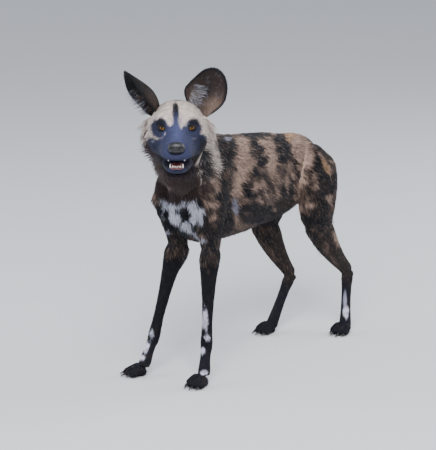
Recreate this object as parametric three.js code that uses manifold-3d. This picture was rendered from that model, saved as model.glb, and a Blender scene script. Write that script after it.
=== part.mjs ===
// African wild dog, standing, life size, in millimetres.
// +Z is up, the dog faces -Y, its left side is +X, and all four soles lie at z = 0.
// Every piece of flesh is a sphere whose rows are laid out as rings along a curve.
import * as THREE from "three";
import { mergeVertices } from "three/addons/utils/BufferGeometryUtils.js";
import Module from "manifold-3d";

const wasm = await Module();
wasm.setup();

const GAP = 0.35; // clear space between neighbouring pieces
const LEFT = new THREE.Vector3(1, 0, 0);
const point = (x, y, z) => new THREE.Vector3(x, y, z);

// Joints of the skeleton, which set the pose. The near hind leg is stretched back.
const JOINTS = {
  left: {
    side: 1,
    withers: point(44, -185, 668),
    elbow: point(70, -231, 388),
    carpus: point(72, -249, 118),
    frontFoot: point(78, -268, 0),
    frontYaw: -4,
    hip: point(52, 244, 560),
    stifle: point(73, 214, 388),
    hock: point(67, 386, 192),
    hindFoot: point(74, 372, 0),
    hindYaw: 4,
  },
  right: {
    side: -1,
    withers: point(-44, -185, 668),
    elbow: point(-66, -224, 380),
    carpus: point(-83, -303, 118),
    frontFoot: point(-108, -324, 0),
    frontYaw: -38,
    hip: point(-52, 244, 560),
    stifle: point(-80, 148, 380),
    hock: point(-57, 262, 184),
    hindFoot: point(-97, 222, 0),
    hindYaw: -16,
  },
};

// Trunk from the buttocks to the breast: y, height of the back, height of the belly, half width.
const TRUNK = [
  [338, 580, 500, 32],
  [308, 602, 474, 56],
  [256, 627, 454, 72],
  [190, 647, 440, 70],
  [110, 660, 404, 76],
  [20, 670, 396, 87],
  [-80, 680, 388, 93],
  [-160, 691, 388, 88],
  [-225, 690, 400, 78],
  [-272, 664, 424, 66],
  [-300, 622, 462, 50],
];

// Neck from inside the chest to the skull: x, y, z, half width, reach to the nape, reach to the throat.
const NECK = [
  [0, -150, 580, 66, 96, 118],
  [8, -218, 618, 74, 84, 112],
  [38, -288, 664, 76, 72, 98],
  [72, -340, 708, 75, 64, 84],
  [104, -382, 744, 70, 56, 70],
];

// Ruff: share of the neck, angles from and to (-90 is the throat), count, length, width, lift, sag.
const RUFF_ROWS = [
  [0.86, -205, 25, 10, 74, 34, 26, 14],
  [0.7, -195, 15, 9, 74, 36, 20, 14],
  [0.54, -185, 5, 8, 72, 36, 16, 12],
  [0.37, -170, -10, 7, 70, 36, 13, 10],
];

// Tail brush: as the ruff, round the whole tail.
const BRUSH_ROWS = [
  [0.14, 0, 360, 4, 72, 23, 9, 0],
  [0.42, 0, 360, 4, 76, 24, 10, 0],
  [0.72, 0, 360, 4, 66, 20, 7, 0],
];

// Head in its own frame: y runs back from the eyes, z up from them.
const HEAD_PLACE = point(155, -441, 772);
const HEAD_YAW = 43;
const HEAD_PITCH = 5;
// Skull and upper jaw: y, top, bottom, half width, height of the widest part.
const SKULL = [
  [112, 34, -40, 40, -2],
  [92, 62, -70, 62, -8],
  [62, 73, -92, 75, -16],
  [34, 73, -98, 78, -24],
  [8, 62, -96, 76, -32],
  [-12, 38, -90, 64, -40],
  [-32, 13, -82, 50, -48],
  [-56, -2, -77, 42, -54],
  [-82, -12, -75, 38, -56],
  [-104, -20, -75, 33, -56],
  [-116, -27, -70, 25, -52],
];
// Lower jaw from its angle to the chin: y, top, bottom, half width.
const JAW = [
  [30, -70, -106, 40],
  [2, -76, -110, 40],
  [-30, -82, -112, 36],
  [-62, -87, -112, 31],
  [-84, -90, -110, 25],
  [-97, -91, -107, 18],
];

const EYE_RADIUS = 11.5;
const EYE_AT = point(36.5, -23, 1.5);

// Sizes along a bone: share of its length, half width, reach forward, reach back.
const UPPER_ARM = [
  [-0.04, 16, 26, 30],
  [0.12, 26, 50, 48],
  [0.35, 34, 74, 56],
  [0.58, 37, 72, 64],
  [0.8, 29, 40, 50],
  [1.0, 22, 26, 34],
  [1.1, 19, 22, 26],
];
const FOREARM = [
  [-0.06, 23, 26, 36],
  [0.1, 25, 31, 35],
  [0.3, 21, 25, 26],
  [0.55, 17, 18, 19],
  [0.8, 15, 16, 16],
  [1.0, 18, 17, 19],
  [1.12, 15, 14, 16],
];
const THIGH = [
  [-0.34, 22, 46, 46],
  [-0.06, 38, 74, 76],
  [0.3, 44, 86, 82],
  [0.62, 43, 72, 80],
  [0.95, 37, 44, 76],
  [1.16, 27, 30, 56],
];
const SHANK = [
  [-0.06, 30, 38, 66],
  [0.2, 29, 43, 53],
  [0.45, 24, 38, 38],
  [0.7, 19, 28, 28],
  [0.9, 16, 20, 26],
  [1.04, 15, 17, 24],
];
const METATARSUS = [
  [-0.1, 14, 18, 20],
  [0.05, 17, 20, 25],
  [0.25, 15, 17, 20],
  [0.5, 15, 15, 16],
  [0.75, 17, 15, 16],
  [1.0, 20, 17, 18],
  [1.08, 18, 15, 16],
];
const METACARPUS = [
  [-0.1, 14, 14, 16],
  [0.1, 16, 15, 19],
  [0.45, 16, 14, 15],
  [0.75, 19, 16, 18],
  [0.98, 20, 17, 17],
];

// Paw: sideways place, forward reach and size of each of the four toes.
const TOES = [
  [-20, 34, 10.5],
  [-8.5, 47, 11.5],
  [8.5, 47, 11.5],
  [20, 34, 10.5],
];
const CLAW_LENGTH = 15;

// Ears, in the head's frame: a round bowl on a narrow foot.
const EAR_LENGTH = 144;
const EAR_HALF_WIDTH = 55;
const EAR_THICK = 4.5;

// Curve through stations whose sizes ride on a second curve with the same parameter.
function stationCurves(stations) {
  const places = stations.map(([x, y, z]) => point(x, y, z));
  const sizes = stations.map(([, , , wide, fore, back]) => point(wide, fore, back));
  return {
    path: new THREE.CatmullRomCurve3(places),
    size: new THREE.CatmullRomCurve3(sizes, false, "catmullrom", 0.5),
  };
}

// Share of its full size that a ring has near a rounded end of the given length.
function endRound(distance, length) {
  if (distance >= length) return 1;
  const rest = 1 - distance / length;
  return Math.sqrt(Math.max(0, 1 - rest * rest));
}

// A power of a cosine or sine that keeps its sign, which squares or points a section.
const signedPower = (value, power) => Math.sign(value) * Math.abs(value) ** power;

// A closed body along stations of x, y, z, half width, reach forward and reach back.
// On a path that runs down, forward is -Y. On one that runs forward, it is up.
function loft(stations, options = {}) {
  const { sides = 16, rows = 14, ends = [20, 20], crowd = 0.55, square = 2.2, side = LEFT } = options;
  const { path, size } = stationCurves(stations);
  const length = path.getLength();
  const geometry = new THREE.SphereGeometry(1, sides, rows);
  const places = geometry.getAttribute("position");
  const uv = geometry.getAttribute("uv");
  const rings = [];
  for (let row = 0; row <= rows; row += 1) {
    const even = row / rows;
    const share = THREE.MathUtils.lerp(even, (1 - Math.cos(Math.PI * even)) / 2, crowd);
    const t = path.getUtoTmapping(share);
    const tangent = path.getTangent(t);
    const fore = new THREE.Vector3().crossVectors(tangent, side).normalize();
    rings.push({
      centre: path.getPoint(t),
      across: new THREE.Vector3().crossVectors(fore, tangent).normalize(),
      fore,
      size: size.getPoint(t),
      round: endRound(share * length, ends[0]) * endRound((1 - share) * length, ends[1]),
      share,
    });
  }
  for (let i = 0; i < places.count; i += 1) {
    const ring = rings[Math.round((1 - uv.getY(i)) * rows)];
    const angle = (Math.round(uv.getX(i) * sides) / sides) * 2 * Math.PI;
    const wide = ring.size.x * signedPower(Math.cos(angle), 2 / square);
    const reach = Math.sin(angle) > 0 ? ring.size.y : ring.size.z;
    const along = reach * signedPower(Math.sin(angle), 2 / square);
    const spot = ring.centre
      .clone()
      .addScaledVector(ring.across, wide * ring.round)
      .addScaledVector(ring.fore, along * ring.round);
    places.setXYZ(i, spot.x, spot.y, spot.z);
  }
  return geometry;
}

// Stations along a bone between two joints.
function alongBone(from, to, stops, bend = point(0, 0, 0)) {
  return stops.map(([share, wide, fore, back]) => {
    const place = from.clone().lerp(to, share).addScaledVector(bend, Math.sin(Math.PI * THREE.MathUtils.clamp(share, 0, 1)));
    return [place.x, place.y, place.z, wide, fore, back];
  });
}

// Pushes a surface in or out around named spots, on both sides of the head at once.
function sculpt(geometry, bumps) {
  const places = geometry.getAttribute("position");
  const spot = new THREE.Vector3();
  for (let i = 0; i < places.count; i += 1) {
    spot.fromBufferAttribute(places, i);
    const moved = spot.clone();
    for (const { at, size, push } of bumps) {
      for (const side of at[0] === 0 ? [1] : [1, -1]) {
        const far =
          ((spot.x - side * at[0]) / size[0]) ** 2 +
          ((spot.y - at[1]) / size[1]) ** 2 +
          ((spot.z - at[2]) / size[2]) ** 2;
        const share = Math.exp(-far);
        moved.x += side * push[0] * share;
        moved.y += push[1] * share;
        moved.z += push[2] * share;
      }
    }
    places.setXYZ(i, moved.x, moved.y, moved.z);
  }
  return geometry;
}

function ball(centre, radii, sides = 12, rows = 8) {
  return new THREE.SphereGeometry(1, sides, rows).scale(...radii).translate(centre.x, centre.y, centre.z);
}

// Makes a geometry a solid, with its faces turned outwards.
function solid(geometry) {
  const bare = geometry.clone();
  for (const name of Object.keys(bare.attributes)) {
    if (name !== "position") bare.deleteAttribute(name);
  }
  const merged = mergeVertices(bare, 1e-3);
  const triVerts = new Uint32Array(merged.index.array);
  const make = () =>
    new wasm.Manifold(
      new wasm.Mesh({ numProp: 3, vertProperties: new Float32Array(merged.getAttribute("position").array), triVerts }),
    );
  const made = make();
  if (made.volume() > 0) return made;
  for (let i = 0; i < triVerts.length; i += 3) {
    [triVerts[i + 1], triVerts[i + 2]] = [triVerts[i + 2], triVerts[i + 1]];
  }
  return make();
}

// A solid's surface as an indexed geometry.
function surface(body) {
  const mesh = body.getMesh();
  const places = new Float32Array(mesh.numVert * 3);
  for (let i = 0; i < mesh.numVert; i += 1) {
    places.set(mesh.vertProperties.subarray(i * mesh.numProp, i * mesh.numProp + 3), i * 3);
  }
  return new THREE.BufferGeometry()
    .setAttribute("position", new THREE.BufferAttribute(places, 3))
    .setIndex(new THREE.BufferAttribute(new Uint32Array(mesh.triVerts), 1));
}

const largest = (body) => body.decompose().reduce((best, next) => (next.volume() > best.volume() ? next : best));
const fuse = (bodies) => bodies.reduce((whole, next) => whole.add(next));

// The same solid with its surface moved out along its normals.
function grown(body, distance = GAP) {
  const skin = surface(body);
  skin.computeVertexNormals();
  const places = skin.getAttribute("position");
  const normals = skin.getAttribute("normal");
  for (let i = 0; i < places.count; i += 1) {
    places.setXYZ(
      i,
      places.getX(i) + normals.getX(i) * distance,
      places.getY(i) + normals.getY(i) * distance,
      places.getZ(i) + normals.getZ(i) * distance,
    );
  }
  return solid(skin);
}

// A body cut clear of its neighbours, of which only the largest piece stays.
const clearOf = (body, neighbours) => largest(neighbours.reduce((rest, next) => rest.subtract(grown(next)), body));

// Even numbers from 0 to 1 that are the same at every run.
function seeded(seed) {
  let state = seed;
  return () => {
    state = (state * 16807) % 2147483647;
    return state / 2147483647;
  };
}

// A flat lock of coat that tapers to its tip: it leaves its root along the lie, lifts and then sags.
function lock({ root, out, lie, length, wide, lift, sag }) {
  const side = new THREE.Vector3().crossVectors(lie, out).normalize();
  const stations = [
    [-0.2, -0.1, 0.8],
    [0.2, 0.35, 1],
    [0.62, 0.8, 0.72],
    [1, 1, 0.16],
  ].map(([along, rise, full]) => {
    const spot = root
      .clone()
      .addScaledVector(lie, along * length)
      .addScaledVector(out, rise * lift - 3)
      .add(point(0, 0, -sag * Math.max(0, along) ** 2));
    return [spot.x, spot.y, spot.z, (wide / 2) * full, wide * 0.2 * full, wide * 0.2 * full];
  });
  return solid(loft(stations, { sides: 5, rows: 4, ends: [5, 10], crowd: 0, square: 2, side }));
}

// Rows of locks round a body of coat. Each row: share of the path, angle from and to, count,
// length, width, lift and sag.
function coatRows(stations, rows, seed) {
  const { path, size } = stationCurves(stations);
  const chance = seeded(seed);
  const locks = [];
  rows.forEach(([share, from, to, count, length, wide, lift, sag], row) => {
    for (let i = 0; i < count; i += 1) {
      const t = path.getUtoTmapping(share + 0.03 * (chance() - 0.5));
      const tangent = path.getTangent(t);
      const fore = new THREE.Vector3().crossVectors(tangent, LEFT).normalize();
      const across = new THREE.Vector3().crossVectors(fore, tangent).normalize();
      const step = (to - from) / count;
      const degrees = from + step * (i + 0.5 + (row % 2 ? 0.25 : -0.25) + 0.2 * (chance() - 0.5));
      const angle = THREE.MathUtils.degToRad(degrees);
      const ring = size.getPoint(t);
      const reach = Math.sin(angle) > 0 ? ring.y : ring.z;
      const root = path
        .getPoint(t)
        .addScaledVector(across, ring.x * Math.cos(angle))
        .addScaledVector(fore, reach * Math.sin(angle));
      const out = across
        .clone()
        .multiplyScalar(Math.cos(angle) / ring.x)
        .addScaledVector(fore, Math.sin(angle) / reach)
        .normalize();
      const lie = tangent.clone().multiplyScalar(stations.lie).addScaledVector(out, 0.05).normalize();
      const vary = 0.85 + 0.3 * chance();
      locks.push(lock({ root, out, lie, length: length * vary, wide: wide * vary, lift, sag }));
    }
  });
  return locks;
}

// Everything under the floor, which gives each sole its flat.
const underFloor = solid(new THREE.BoxGeometry(1400, 1800, 100).translate(0, 0, -50));

const coat = (colour, roughness = 0.85) => new THREE.MeshStandardMaterial({ color: colour, roughness, metalness: 0 });
const FINISH = {
  black: coat(0x1d1b1c),
  dark: coat(0x2b2421),
  tan: coat(0xa9855f),
  pale: coat(0xcdbba6),
  face: coat(0x2a2a33),
  skin: coat(0x17171b, 0.45),
  eye: new THREE.MeshStandardMaterial({ color: 0x6b3f12, roughness: 0.08, metalness: 0 }),
  mouth: coat(0x8c3a40, 0.4),
};

const dog = new THREE.Group();
function place(parent, name, body, material) {
  const mesh = new THREE.Mesh(surface(body), material);
  mesh.name = name;
  parent.add(mesh);
  return mesh;
}

// Head group: the pieces inside it are made in its own frame.
const headGroup = new THREE.Group();
headGroup.position.copy(HEAD_PLACE);
headGroup.rotation.order = "ZXY";
headGroup.rotation.z = THREE.MathUtils.degToRad(HEAD_YAW);
headGroup.rotation.x = -THREE.MathUtils.degToRad(HEAD_PITCH);
headGroup.updateMatrix();
dog.add(headGroup);
const inDogFrame = (body) => solid(surface(body).applyMatrix4(headGroup.matrix));

function makeSkull() {
  const stations = SKULL.map(([y, top, bottom, wide, widest]) => [0, y, widest, wide, top - widest, widest - bottom]);
  const form = loft(stations, { sides: 26, rows: 27, ends: [26, 13], crowd: 0.45, square: 2.15 });
  return solid(
    sculpt(form, [
      // sockets, brow ridges, bridge sides, cheekbones, flews and the groove of the forehead
      { at: [41, -22, 2], size: [17, 26, 17], push: [-6, 11, 0] },
      { at: [34, -6, 24], size: [16, 18, 11], push: [1, -5, 2] },
      { at: [38, -52, -22], size: [16, 26, 17], push: [-9, 0, 0] },
      { at: [62, 4, -22], size: [20, 22, 14], push: [3, -3, 0] },
      { at: [36, -78, -64], size: [14, 22, 13], push: [4, 0, -2] },
      { at: [0, 8, 66], size: [9, 30, 22], push: [0, 0, -3] },
    ]),
  );
}

function makeLids(side) {
  const eye = point(side * EYE_AT.x, EYE_AT.y, EYE_AT.z);
  const rim = new THREE.TorusGeometry(EYE_RADIUS - 0.4, 3, 6, 14)
    .scale(1.12, 0.86, 1)
    .rotateX(Math.PI / 2)
    .rotateZ(THREE.MathUtils.degToRad(side * 24))
    .translate(eye.x + side * 2, eye.y - 4.5, eye.z);
  return solid(rim);
}

// The opening between the lids, wider than it is high.
function makeSlit(side) {
  const form = new THREE.SphereGeometry(1, 12, 6).scale(9.5, 12, 6.2);
  form.rotateZ(THREE.MathUtils.degToRad(side * 24));
  return solid(form.translate(side * (EYE_AT.x + 3), EYE_AT.y - 11, EYE_AT.z));
}

function makeJaw() {
  const stations = JAW.map(([y, top, bottom, wide]) => [0, y, (top + bottom) / 2, wide, (top - bottom) / 2, (top - bottom) / 2]);
  return solid(loft(stations, { sides: 16, rows: 12, ends: [22, 12], square: 2.5 }));
}

// Incisors between two canines, along the front of the lower jaw.
function lowerTeeth() {
  const teeth = [];
  for (let i = -3; i <= 3; i += 1) {
    if (i === 0) continue;
    const side = Math.sign(i);
    const canine = Math.abs(i) === 3;
    const x = side * (Math.abs(i) * 4.6 - (canine ? -1.5 : 2.2));
    const y = -99 + Math.abs(x) * 0.32;
    const tall = canine ? 12 : 7;
    const tooth = new THREE.ConeGeometry(canine ? 3.4 : 2.6, tall + 6, 6, 1)
      .rotateX(Math.PI / 2)
      .translate(x, y, -91 + tall / 2 - 3);
    teeth.push(solid(tooth));
  }
  return teeth;
}

function makeNose() {
  const pad = ball(point(0, -114, -40), [22, 13, 17], 14, 9);
  const wings = sculpt(pad, [{ at: [15, -122, -46], size: [8, 10, 8], push: [2, -2, -1] }]);
  let nose = solid(wings);
  for (const side of [1, -1]) {
    const nostril = ball(point(side * 11.5, -127, -42), [5.2, 9, 4.4], 8, 6);
    const slit = ball(point(side * 19, -121, -47), [6.5, 8, 2.4], 8, 6);
    nose = nose.subtract(solid(nostril)).subtract(solid(slit));
  }
  return nose;
}

// A bowl with a rim: the front rows of a sphere line its inside and the back rows its outside.
function makeEar(options) {
  const { side, lean, turn, cup, narrow, foot } = options;
  const sides = 22;
  const rows = 12;
  const geometry = new THREE.SphereGeometry(1, sides, rows);
  const places = geometry.getAttribute("position");
  const uv = geometry.getAttribute("uv");
  for (let i = 0; i < places.count; i += 1) {
    const row = Math.round((1 - uv.getY(i)) * rows);
    const angle = (Math.round(uv.getX(i) * sides) / sides) * 2 * Math.PI;
    const fromRim = Math.abs(row / rows - 0.5) * 2;
    const out = Math.cos((fromRim * Math.PI) / 2) ** 0.8;
    const up = Math.sin(angle);
    const across = Math.cos(angle);
    // The outline is round above and draws in to a foot below.
    const low = THREE.MathUtils.clamp(-up, 0, 1);
    const wide = EAR_HALF_WIDTH * (1 - 0.42 * low ** 1.4);
    const tall = EAR_LENGTH / 2;
    const x = across * wide * out;
    const z = up * tall * out + tall * 0.86;
    // Both faces bow back, deepest low in the middle, and the rim is thin.
    const bowl = cup * (1 - out ** 2) * (1.15 - 0.35 * up * out);
    const curl = narrow * (x / EAR_HALF_WIDTH) ** 2;
    const half = (EAR_THICK / 2) * Math.min(1, 0.35 + 1.6 * fromRim);
    const inside = row < rows / 2 ? -1 : 1;
    const y = bowl - curl + inside * half * (fromRim > 0 ? 1 : 0);
    places.setXYZ(i, x, y, z);
  }
  geometry.rotateZ(THREE.MathUtils.degToRad(side * turn));
  geometry.rotateY(THREE.MathUtils.degToRad(side * lean));
  return solid(geometry.translate(side * foot.x, foot.y, foot.z));
}

const EARS = {
  left: { side: 1, lean: 22, turn: 10, cup: 26, narrow: 6, foot: point(56, 44, 25) },
  right: { side: -1, lean: 34, turn: 66, cup: 28, narrow: 10, foot: point(56, 44, 24) },
};

const skull = makeSkull();
const eyes = { left: null, right: null };
const ears = { left: null, right: null };
for (const [name, side] of [["left", 1], ["right", -1]]) {
  const at = point(side * EYE_AT.x, EYE_AT.y, EYE_AT.z);
  eyes[name] = solid(ball(at, [EYE_RADIUS, EYE_RADIUS, EYE_RADIUS], 12, 9));
  ears[name] = makeEar(EARS[name]);
}
const nose = makeNose();
const jawForm = makeJaw();
const lids = fuse([makeLids(1), makeLids(-1)]);
const mouthGap = solid(
  loft(
    [
      [0, -8, -83, 40, 1, 1],
      [0, -40, -84, 46, 3, 4],
      [0, -80, -82, 44, 7, 9],
      [0, -125, -82, 40, 9, 10],
    ],
    { sides: 12, rows: 8, ends: [4, 2], square: 4 },
  ),
);
const slits = fuse([makeSlit(1), makeSlit(-1)]);
let head = fuse([skull, lids]);
head = largest(head.subtract(mouthGap).subtract(slits));
head = clearOf(head, [nose, eyes.left, eyes.right]);
const jaw = clearOf(fuse([largest(jawForm.subtract(mouthGap)), ...lowerTeeth()]), [head]);
const tongue = clearOf(solid(ball(point(0, -62, -87), [15, 28, 4], 10, 6)), [jaw, head]);

place(headGroup, "head", head, FINISH.pale);
place(headGroup, "lower_jaw", jaw, FINISH.face);
place(headGroup, "nose", nose, FINISH.skin);
place(headGroup, "tongue", tongue, FINISH.mouth);
for (const name of ["left", "right"]) {
  place(headGroup, `eye_${name}`, eyes[name], FINISH.eye);
  place(headGroup, `ear_${name}`, clearOf(ears[name], [head]), FINISH.dark);
}

// Paw in its own frame: toes, pads and claws forward of the origin.
function makeToes() {
  const pieces = [solid(ball(point(0, -8, 12), [23, 20, 17], 9, 5))];
  for (const [x, reach, radius] of TOES) {
    const spread = x * 1.14;
    pieces.push(
      solid(
        loft(
          [
            [x * 0.8, -2, 24, radius, radius, radius],
            [x, -reach * 0.45, 22, radius, radius, radius],
            [spread, -reach * 0.85, 14, radius, radius, 14],
            [spread * 1.02, -reach - radius * 0.9, 9.5, radius * 0.8, 6, 10],
          ],
          { sides: 7, rows: 5, ends: [8, 9], crowd: 0.4 },
        ),
      ),
    );
    pieces.push(
      solid(
        loft(
          [
            [spread, -reach - 2, 12, 3.2, 3.6, 3.6],
            [spread * 1.03, -reach - radius * 0.6 - CLAW_LENGTH * 0.45, 11, 2.6, 3, 3],
            [spread * 1.04, -reach - radius * 0.6 - CLAW_LENGTH, 3.6, 0.9, 0.9, 0.9],
          ],
          { sides: 5, rows: 3, ends: [3, 3], crowd: 0.3 },
        ),
      ),
    );
  }
  return fuse(pieces);
}
const toes = surface(makeToes());

function makePaw(ankle, foot, yaw, stops) {
  const turn = new THREE.Matrix4().makeRotationZ(THREE.MathUtils.degToRad(yaw));
  const placed = toes.clone().applyMatrix4(turn).translate(foot.x, foot.y, foot.z);
  const knuckles = point(foot.x, foot.y, 22);
  const cannon = solid(loft(alongBone(ankle, knuckles, stops), { sides: 11, rows: 8, ends: [12, 14] }));
  return largest(cannon.add(solid(placed)).subtract(underFloor));
}

const upper = [];
for (const name of ["left", "right"]) {
  const joint = JOINTS[name];
  const bend = point(joint.side * 8, -22, 0);
  const arm = solid(
    loft(alongBone(joint.withers, joint.elbow, UPPER_ARM, bend), { sides: 16, rows: 12, ends: [26, 20] }),
  );
  const forearm = clearOf(
    solid(loft(alongBone(joint.elbow, joint.carpus, FOREARM), { sides: 12, rows: 12, ends: [18, 14] })),
    [arm],
  );
  const frontPaw = clearOf(makePaw(joint.carpus, joint.frontFoot, joint.frontYaw, METACARPUS), [forearm]);
  const thigh = solid(
    loft(alongBone(joint.hip, joint.stifle, THIGH, point(joint.side * 7, 0, 0)), {
      sides: 18,
      rows: 12,
      ends: [34, 26],
    }),
  );
  const shank = clearOf(
    solid(loft(alongBone(joint.stifle, joint.hock, SHANK, point(0, 4, -10)), { sides: 12, rows: 12, ends: [26, 14] })),
    [thigh],
  );
  const hindPaw = clearOf(makePaw(joint.hock, joint.hindFoot, joint.hindYaw, METATARSUS), [shank]);
  upper.push(arm, thigh);
  place(dog, `upper_arm_${name}`, arm, FINISH.black);
  place(dog, `forearm_${name}`, forearm, FINISH.black);
  place(dog, `front_paw_${name}`, frontPaw, FINISH.black);
  place(dog, `thigh_${name}`, thigh, FINISH.tan);
  place(dog, `shank_${name}`, shank, FINISH.black);
  place(dog, `hind_paw_${name}`, hindPaw, FINISH.black);
}

// The trunk gives way to the shoulders and thighs that lie on it.
const trunkStations = TRUNK.map(([y, back, belly, wide]) => [0, y, (back + belly) / 2, wide, (back - belly) / 2, (back - belly) / 2]);
const trunk = solid(loft(trunkStations, { sides: 22, rows: 20, ends: [34, 34], crowd: 0.35, square: 2.3 }));
place(dog, "torso", clearOf(trunk, upper), FINISH.tan);

const skullInPlace = inDogFrame(skull);
const jawInPlace = inDogFrame(jawForm);
NECK.lie = -1;
const neckCore = solid(loft(NECK, { sides: 20, rows: 11, ends: [20, 30] }));
const ruff = coatRows(NECK, RUFF_ROWS, 7);
const neck = clearOf(fuse([neckCore, ...ruff]), [trunk, skullInPlace, jawInPlace, ...upper]);
place(dog, "neck", neck, FINISH.dark);

// Tail, hanging straight down behind the near hind leg.
const tailStations = [
  [0, 300, 590, 17, 18, 18],
  [0, 336, 574, 17, 17, 17],
  [-3, 358, 530, 15, 14, 14],
  [-7, 364, 470, 15, 14, 14],
];
const tailForm = solid(loft(tailStations, { sides: 10, rows: 8, ends: [12, 6] }));
const tailRoot = clearOf(tailForm, [trunk, ...upper]);
place(dog, "tail_root", tailRoot, FINISH.dark);
const brushStations = [
  [-6, 364, 484, 12, 12, 12],
  [-9, 366, 430, 15, 14, 14],
  [-12, 367, 370, 16, 14, 14],
  [-14, 367, 316, 11, 10, 10],
  [-15, 366, 296, 6, 6, 6],
];
brushStations.lie = 1;
const brushCore = solid(loft(brushStations, { sides: 10, rows: 8, ends: [10, 16] }));
const brushLocks = coatRows(brushStations, BRUSH_ROWS, 11);
const brush = clearOf(fuse([brushCore, ...brushLocks]), [tailForm, trunk, ...upper]);
place(dog, "tail_brush", brush, FINISH.pale);

// The origin is on the floor, under the middle of the whole dog.
dog.updateMatrixWorld(true);
const box = new THREE.Box3().setFromObject(dog, true);
dog.position.set(-(box.min.x + box.max.x) / 2, -(box.min.y + box.max.y) / 2, 0);

export default dog;
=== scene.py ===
# %% [markdown]
# # An African wild dog, still, at life size
# The dog stands square on its forelegs, with one hind leg stretched back and its head turned.
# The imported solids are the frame: they fix the pose, the proportions and the outline.
# This lesson lays one smooth skin inside them, paints its patches, and then covers it with
# tufts of real mesh, so that the coat breaks the outline as fur does.

# %% Load the frame
import math

import bmesh
import bpy
import numpy as np
from mathutils import Euler, Matrix, Vector
from mathutils.bvhtree import BVHTree


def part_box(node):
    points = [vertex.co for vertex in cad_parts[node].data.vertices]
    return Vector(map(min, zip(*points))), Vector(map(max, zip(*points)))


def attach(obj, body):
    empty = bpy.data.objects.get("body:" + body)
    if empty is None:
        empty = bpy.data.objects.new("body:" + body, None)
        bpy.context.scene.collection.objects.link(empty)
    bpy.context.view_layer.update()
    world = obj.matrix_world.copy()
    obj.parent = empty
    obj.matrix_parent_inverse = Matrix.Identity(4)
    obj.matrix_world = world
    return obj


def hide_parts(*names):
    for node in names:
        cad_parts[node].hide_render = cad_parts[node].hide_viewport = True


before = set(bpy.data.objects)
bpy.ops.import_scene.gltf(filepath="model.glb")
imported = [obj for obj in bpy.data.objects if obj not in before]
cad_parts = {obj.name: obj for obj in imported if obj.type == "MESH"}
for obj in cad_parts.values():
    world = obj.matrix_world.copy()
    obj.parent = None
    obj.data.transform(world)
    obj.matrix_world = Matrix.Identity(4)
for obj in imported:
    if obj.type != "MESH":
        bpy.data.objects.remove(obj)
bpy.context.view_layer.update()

MM = 0.001
SEED = 20

# %% [markdown]
# The skeleton's joints are easiest to think of with the dog's spine on x = 0. The frame has its
# origin under the middle of the whole box instead, so one helper carries a place in
# millimetres from the spine's frame into the row frame. It measures the shift on the torso.

# %% Places on the dog
torso_low, torso_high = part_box("torso")
BUTTOCK_Y = 338
HOME = Vector(((torso_low.x + torso_high.x) / 2, torso_high.y - BUTTOCK_Y * MM, 0))


def at(x, y, z):
    return HOME + Vector((x, y, z)) * MM


HEAD_AT = (155, -441, 772)
HEAD_NOD, HEAD_ASIDE = math.radians(-5), math.radians(43)
HEAD_EULER = Euler((HEAD_NOD, 0, HEAD_ASIDE), "XYZ")
HEAD = Matrix.Translation(at(*HEAD_AT)) @ HEAD_EULER.to_matrix().to_4x4()
HEAD_BACK = HEAD.inverted()
HEAD_TURN = HEAD.to_3x3()
HEAD_ROWS = np.array(HEAD_TURN)


def in_head(x, y, z):
    return HEAD @ (Vector((x, y, z)) * MM)


def turned_to(matrix, rows):
    """Rows of directions as seen from a frame such as the head's or an ear's."""
    return rows @ np.array(matrix.inverted())[:3, :3].T


def local_to(matrix, spots):
    """Rows of places as seen from such a frame, in millimetres."""
    return (turned_to(matrix, spots) + np.array(matrix.inverted())[:3, 3]) / MM


print("spine frame starts at", [round(c, 4) for c in HOME])

# %% Joints of the limbs, in the spine's frame
SIDES = (("left", 1), ("right", -1))
LIMBS = {
    "left": dict(
        withers=(44, -185, 668), elbow=(70, -231, 388), carpus=(72, -249, 118),
        front=(78, -268, 12), hip=(52, 244, 560), stifle=(73, 214, 388),
        hock=(67, 386, 192), hind=(74, 372, 12), front_turn=-4, hind_turn=4,
    ),
    "right": dict(
        withers=(-44, -185, 668), elbow=(-66, -224, 380), carpus=(-83, -303, 118),
        front=(-108, -324, 12), hip=(-52, 244, 560), stifle=(-80, 148, 380),
        hock=(-57, 262, 184), hind=(-97, 222, 12), front_turn=-38, hind_turn=-16,
    ),
}


def forward(turn, reach=44):
    return np.array((math.sin(math.radians(turn)) * reach, -math.cos(math.radians(turn)) * reach, 0))


TOES = [(-20, 34, 10.5), (-8.5, 47, 11.5), (8.5, 47, 11.5), (20, 34, 10.5)]  # aside, reach, radius
TOE_SPREAD = 1.14


def paw_frames():
    """Each paw's name, the middle of its foot, and the directions ahead and aside."""
    for side_name, limb in LIMBS.items():
        for end in ("front", "hind"):
            ahead = forward(limb[f"{end}_turn"], 1)
            aside = np.array((-ahead[1], ahead[0], 0))
            yield f"{end}_paw_{side_name}", np.array(limb[end], float), ahead, aside


print("paws:", [name for name, *_ in paw_frames()])

# %% [markdown]
# The camera stands where the photographer stood: about 42 degrees round to the dog's left,
# a little above its back, almost five metres away through a long lens. It is turned by about a
# degree rather than shifted, so that other views stay centred.

# %% Camera
FRAME_WIDE, FRAME_HIGH = 436, 450
CAMERA_AZIMUTH, CAMERA_ELEVATION = math.radians(42.0), math.radians(13.8)
CAMERA_AWAY = 4.7
FOCAL_PIXELS = 1623.4
AIM_PIXEL = (246.7, 208.4)

SENSOR_MM = 36
MIDDLE = at(0, 0, 450)


def linked(name, data):
    """A new object in the scene, at the origin until it is placed."""
    made = bpy.data.objects.new(name, data)
    bpy.context.collection.objects.link(made)
    return made


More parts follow.
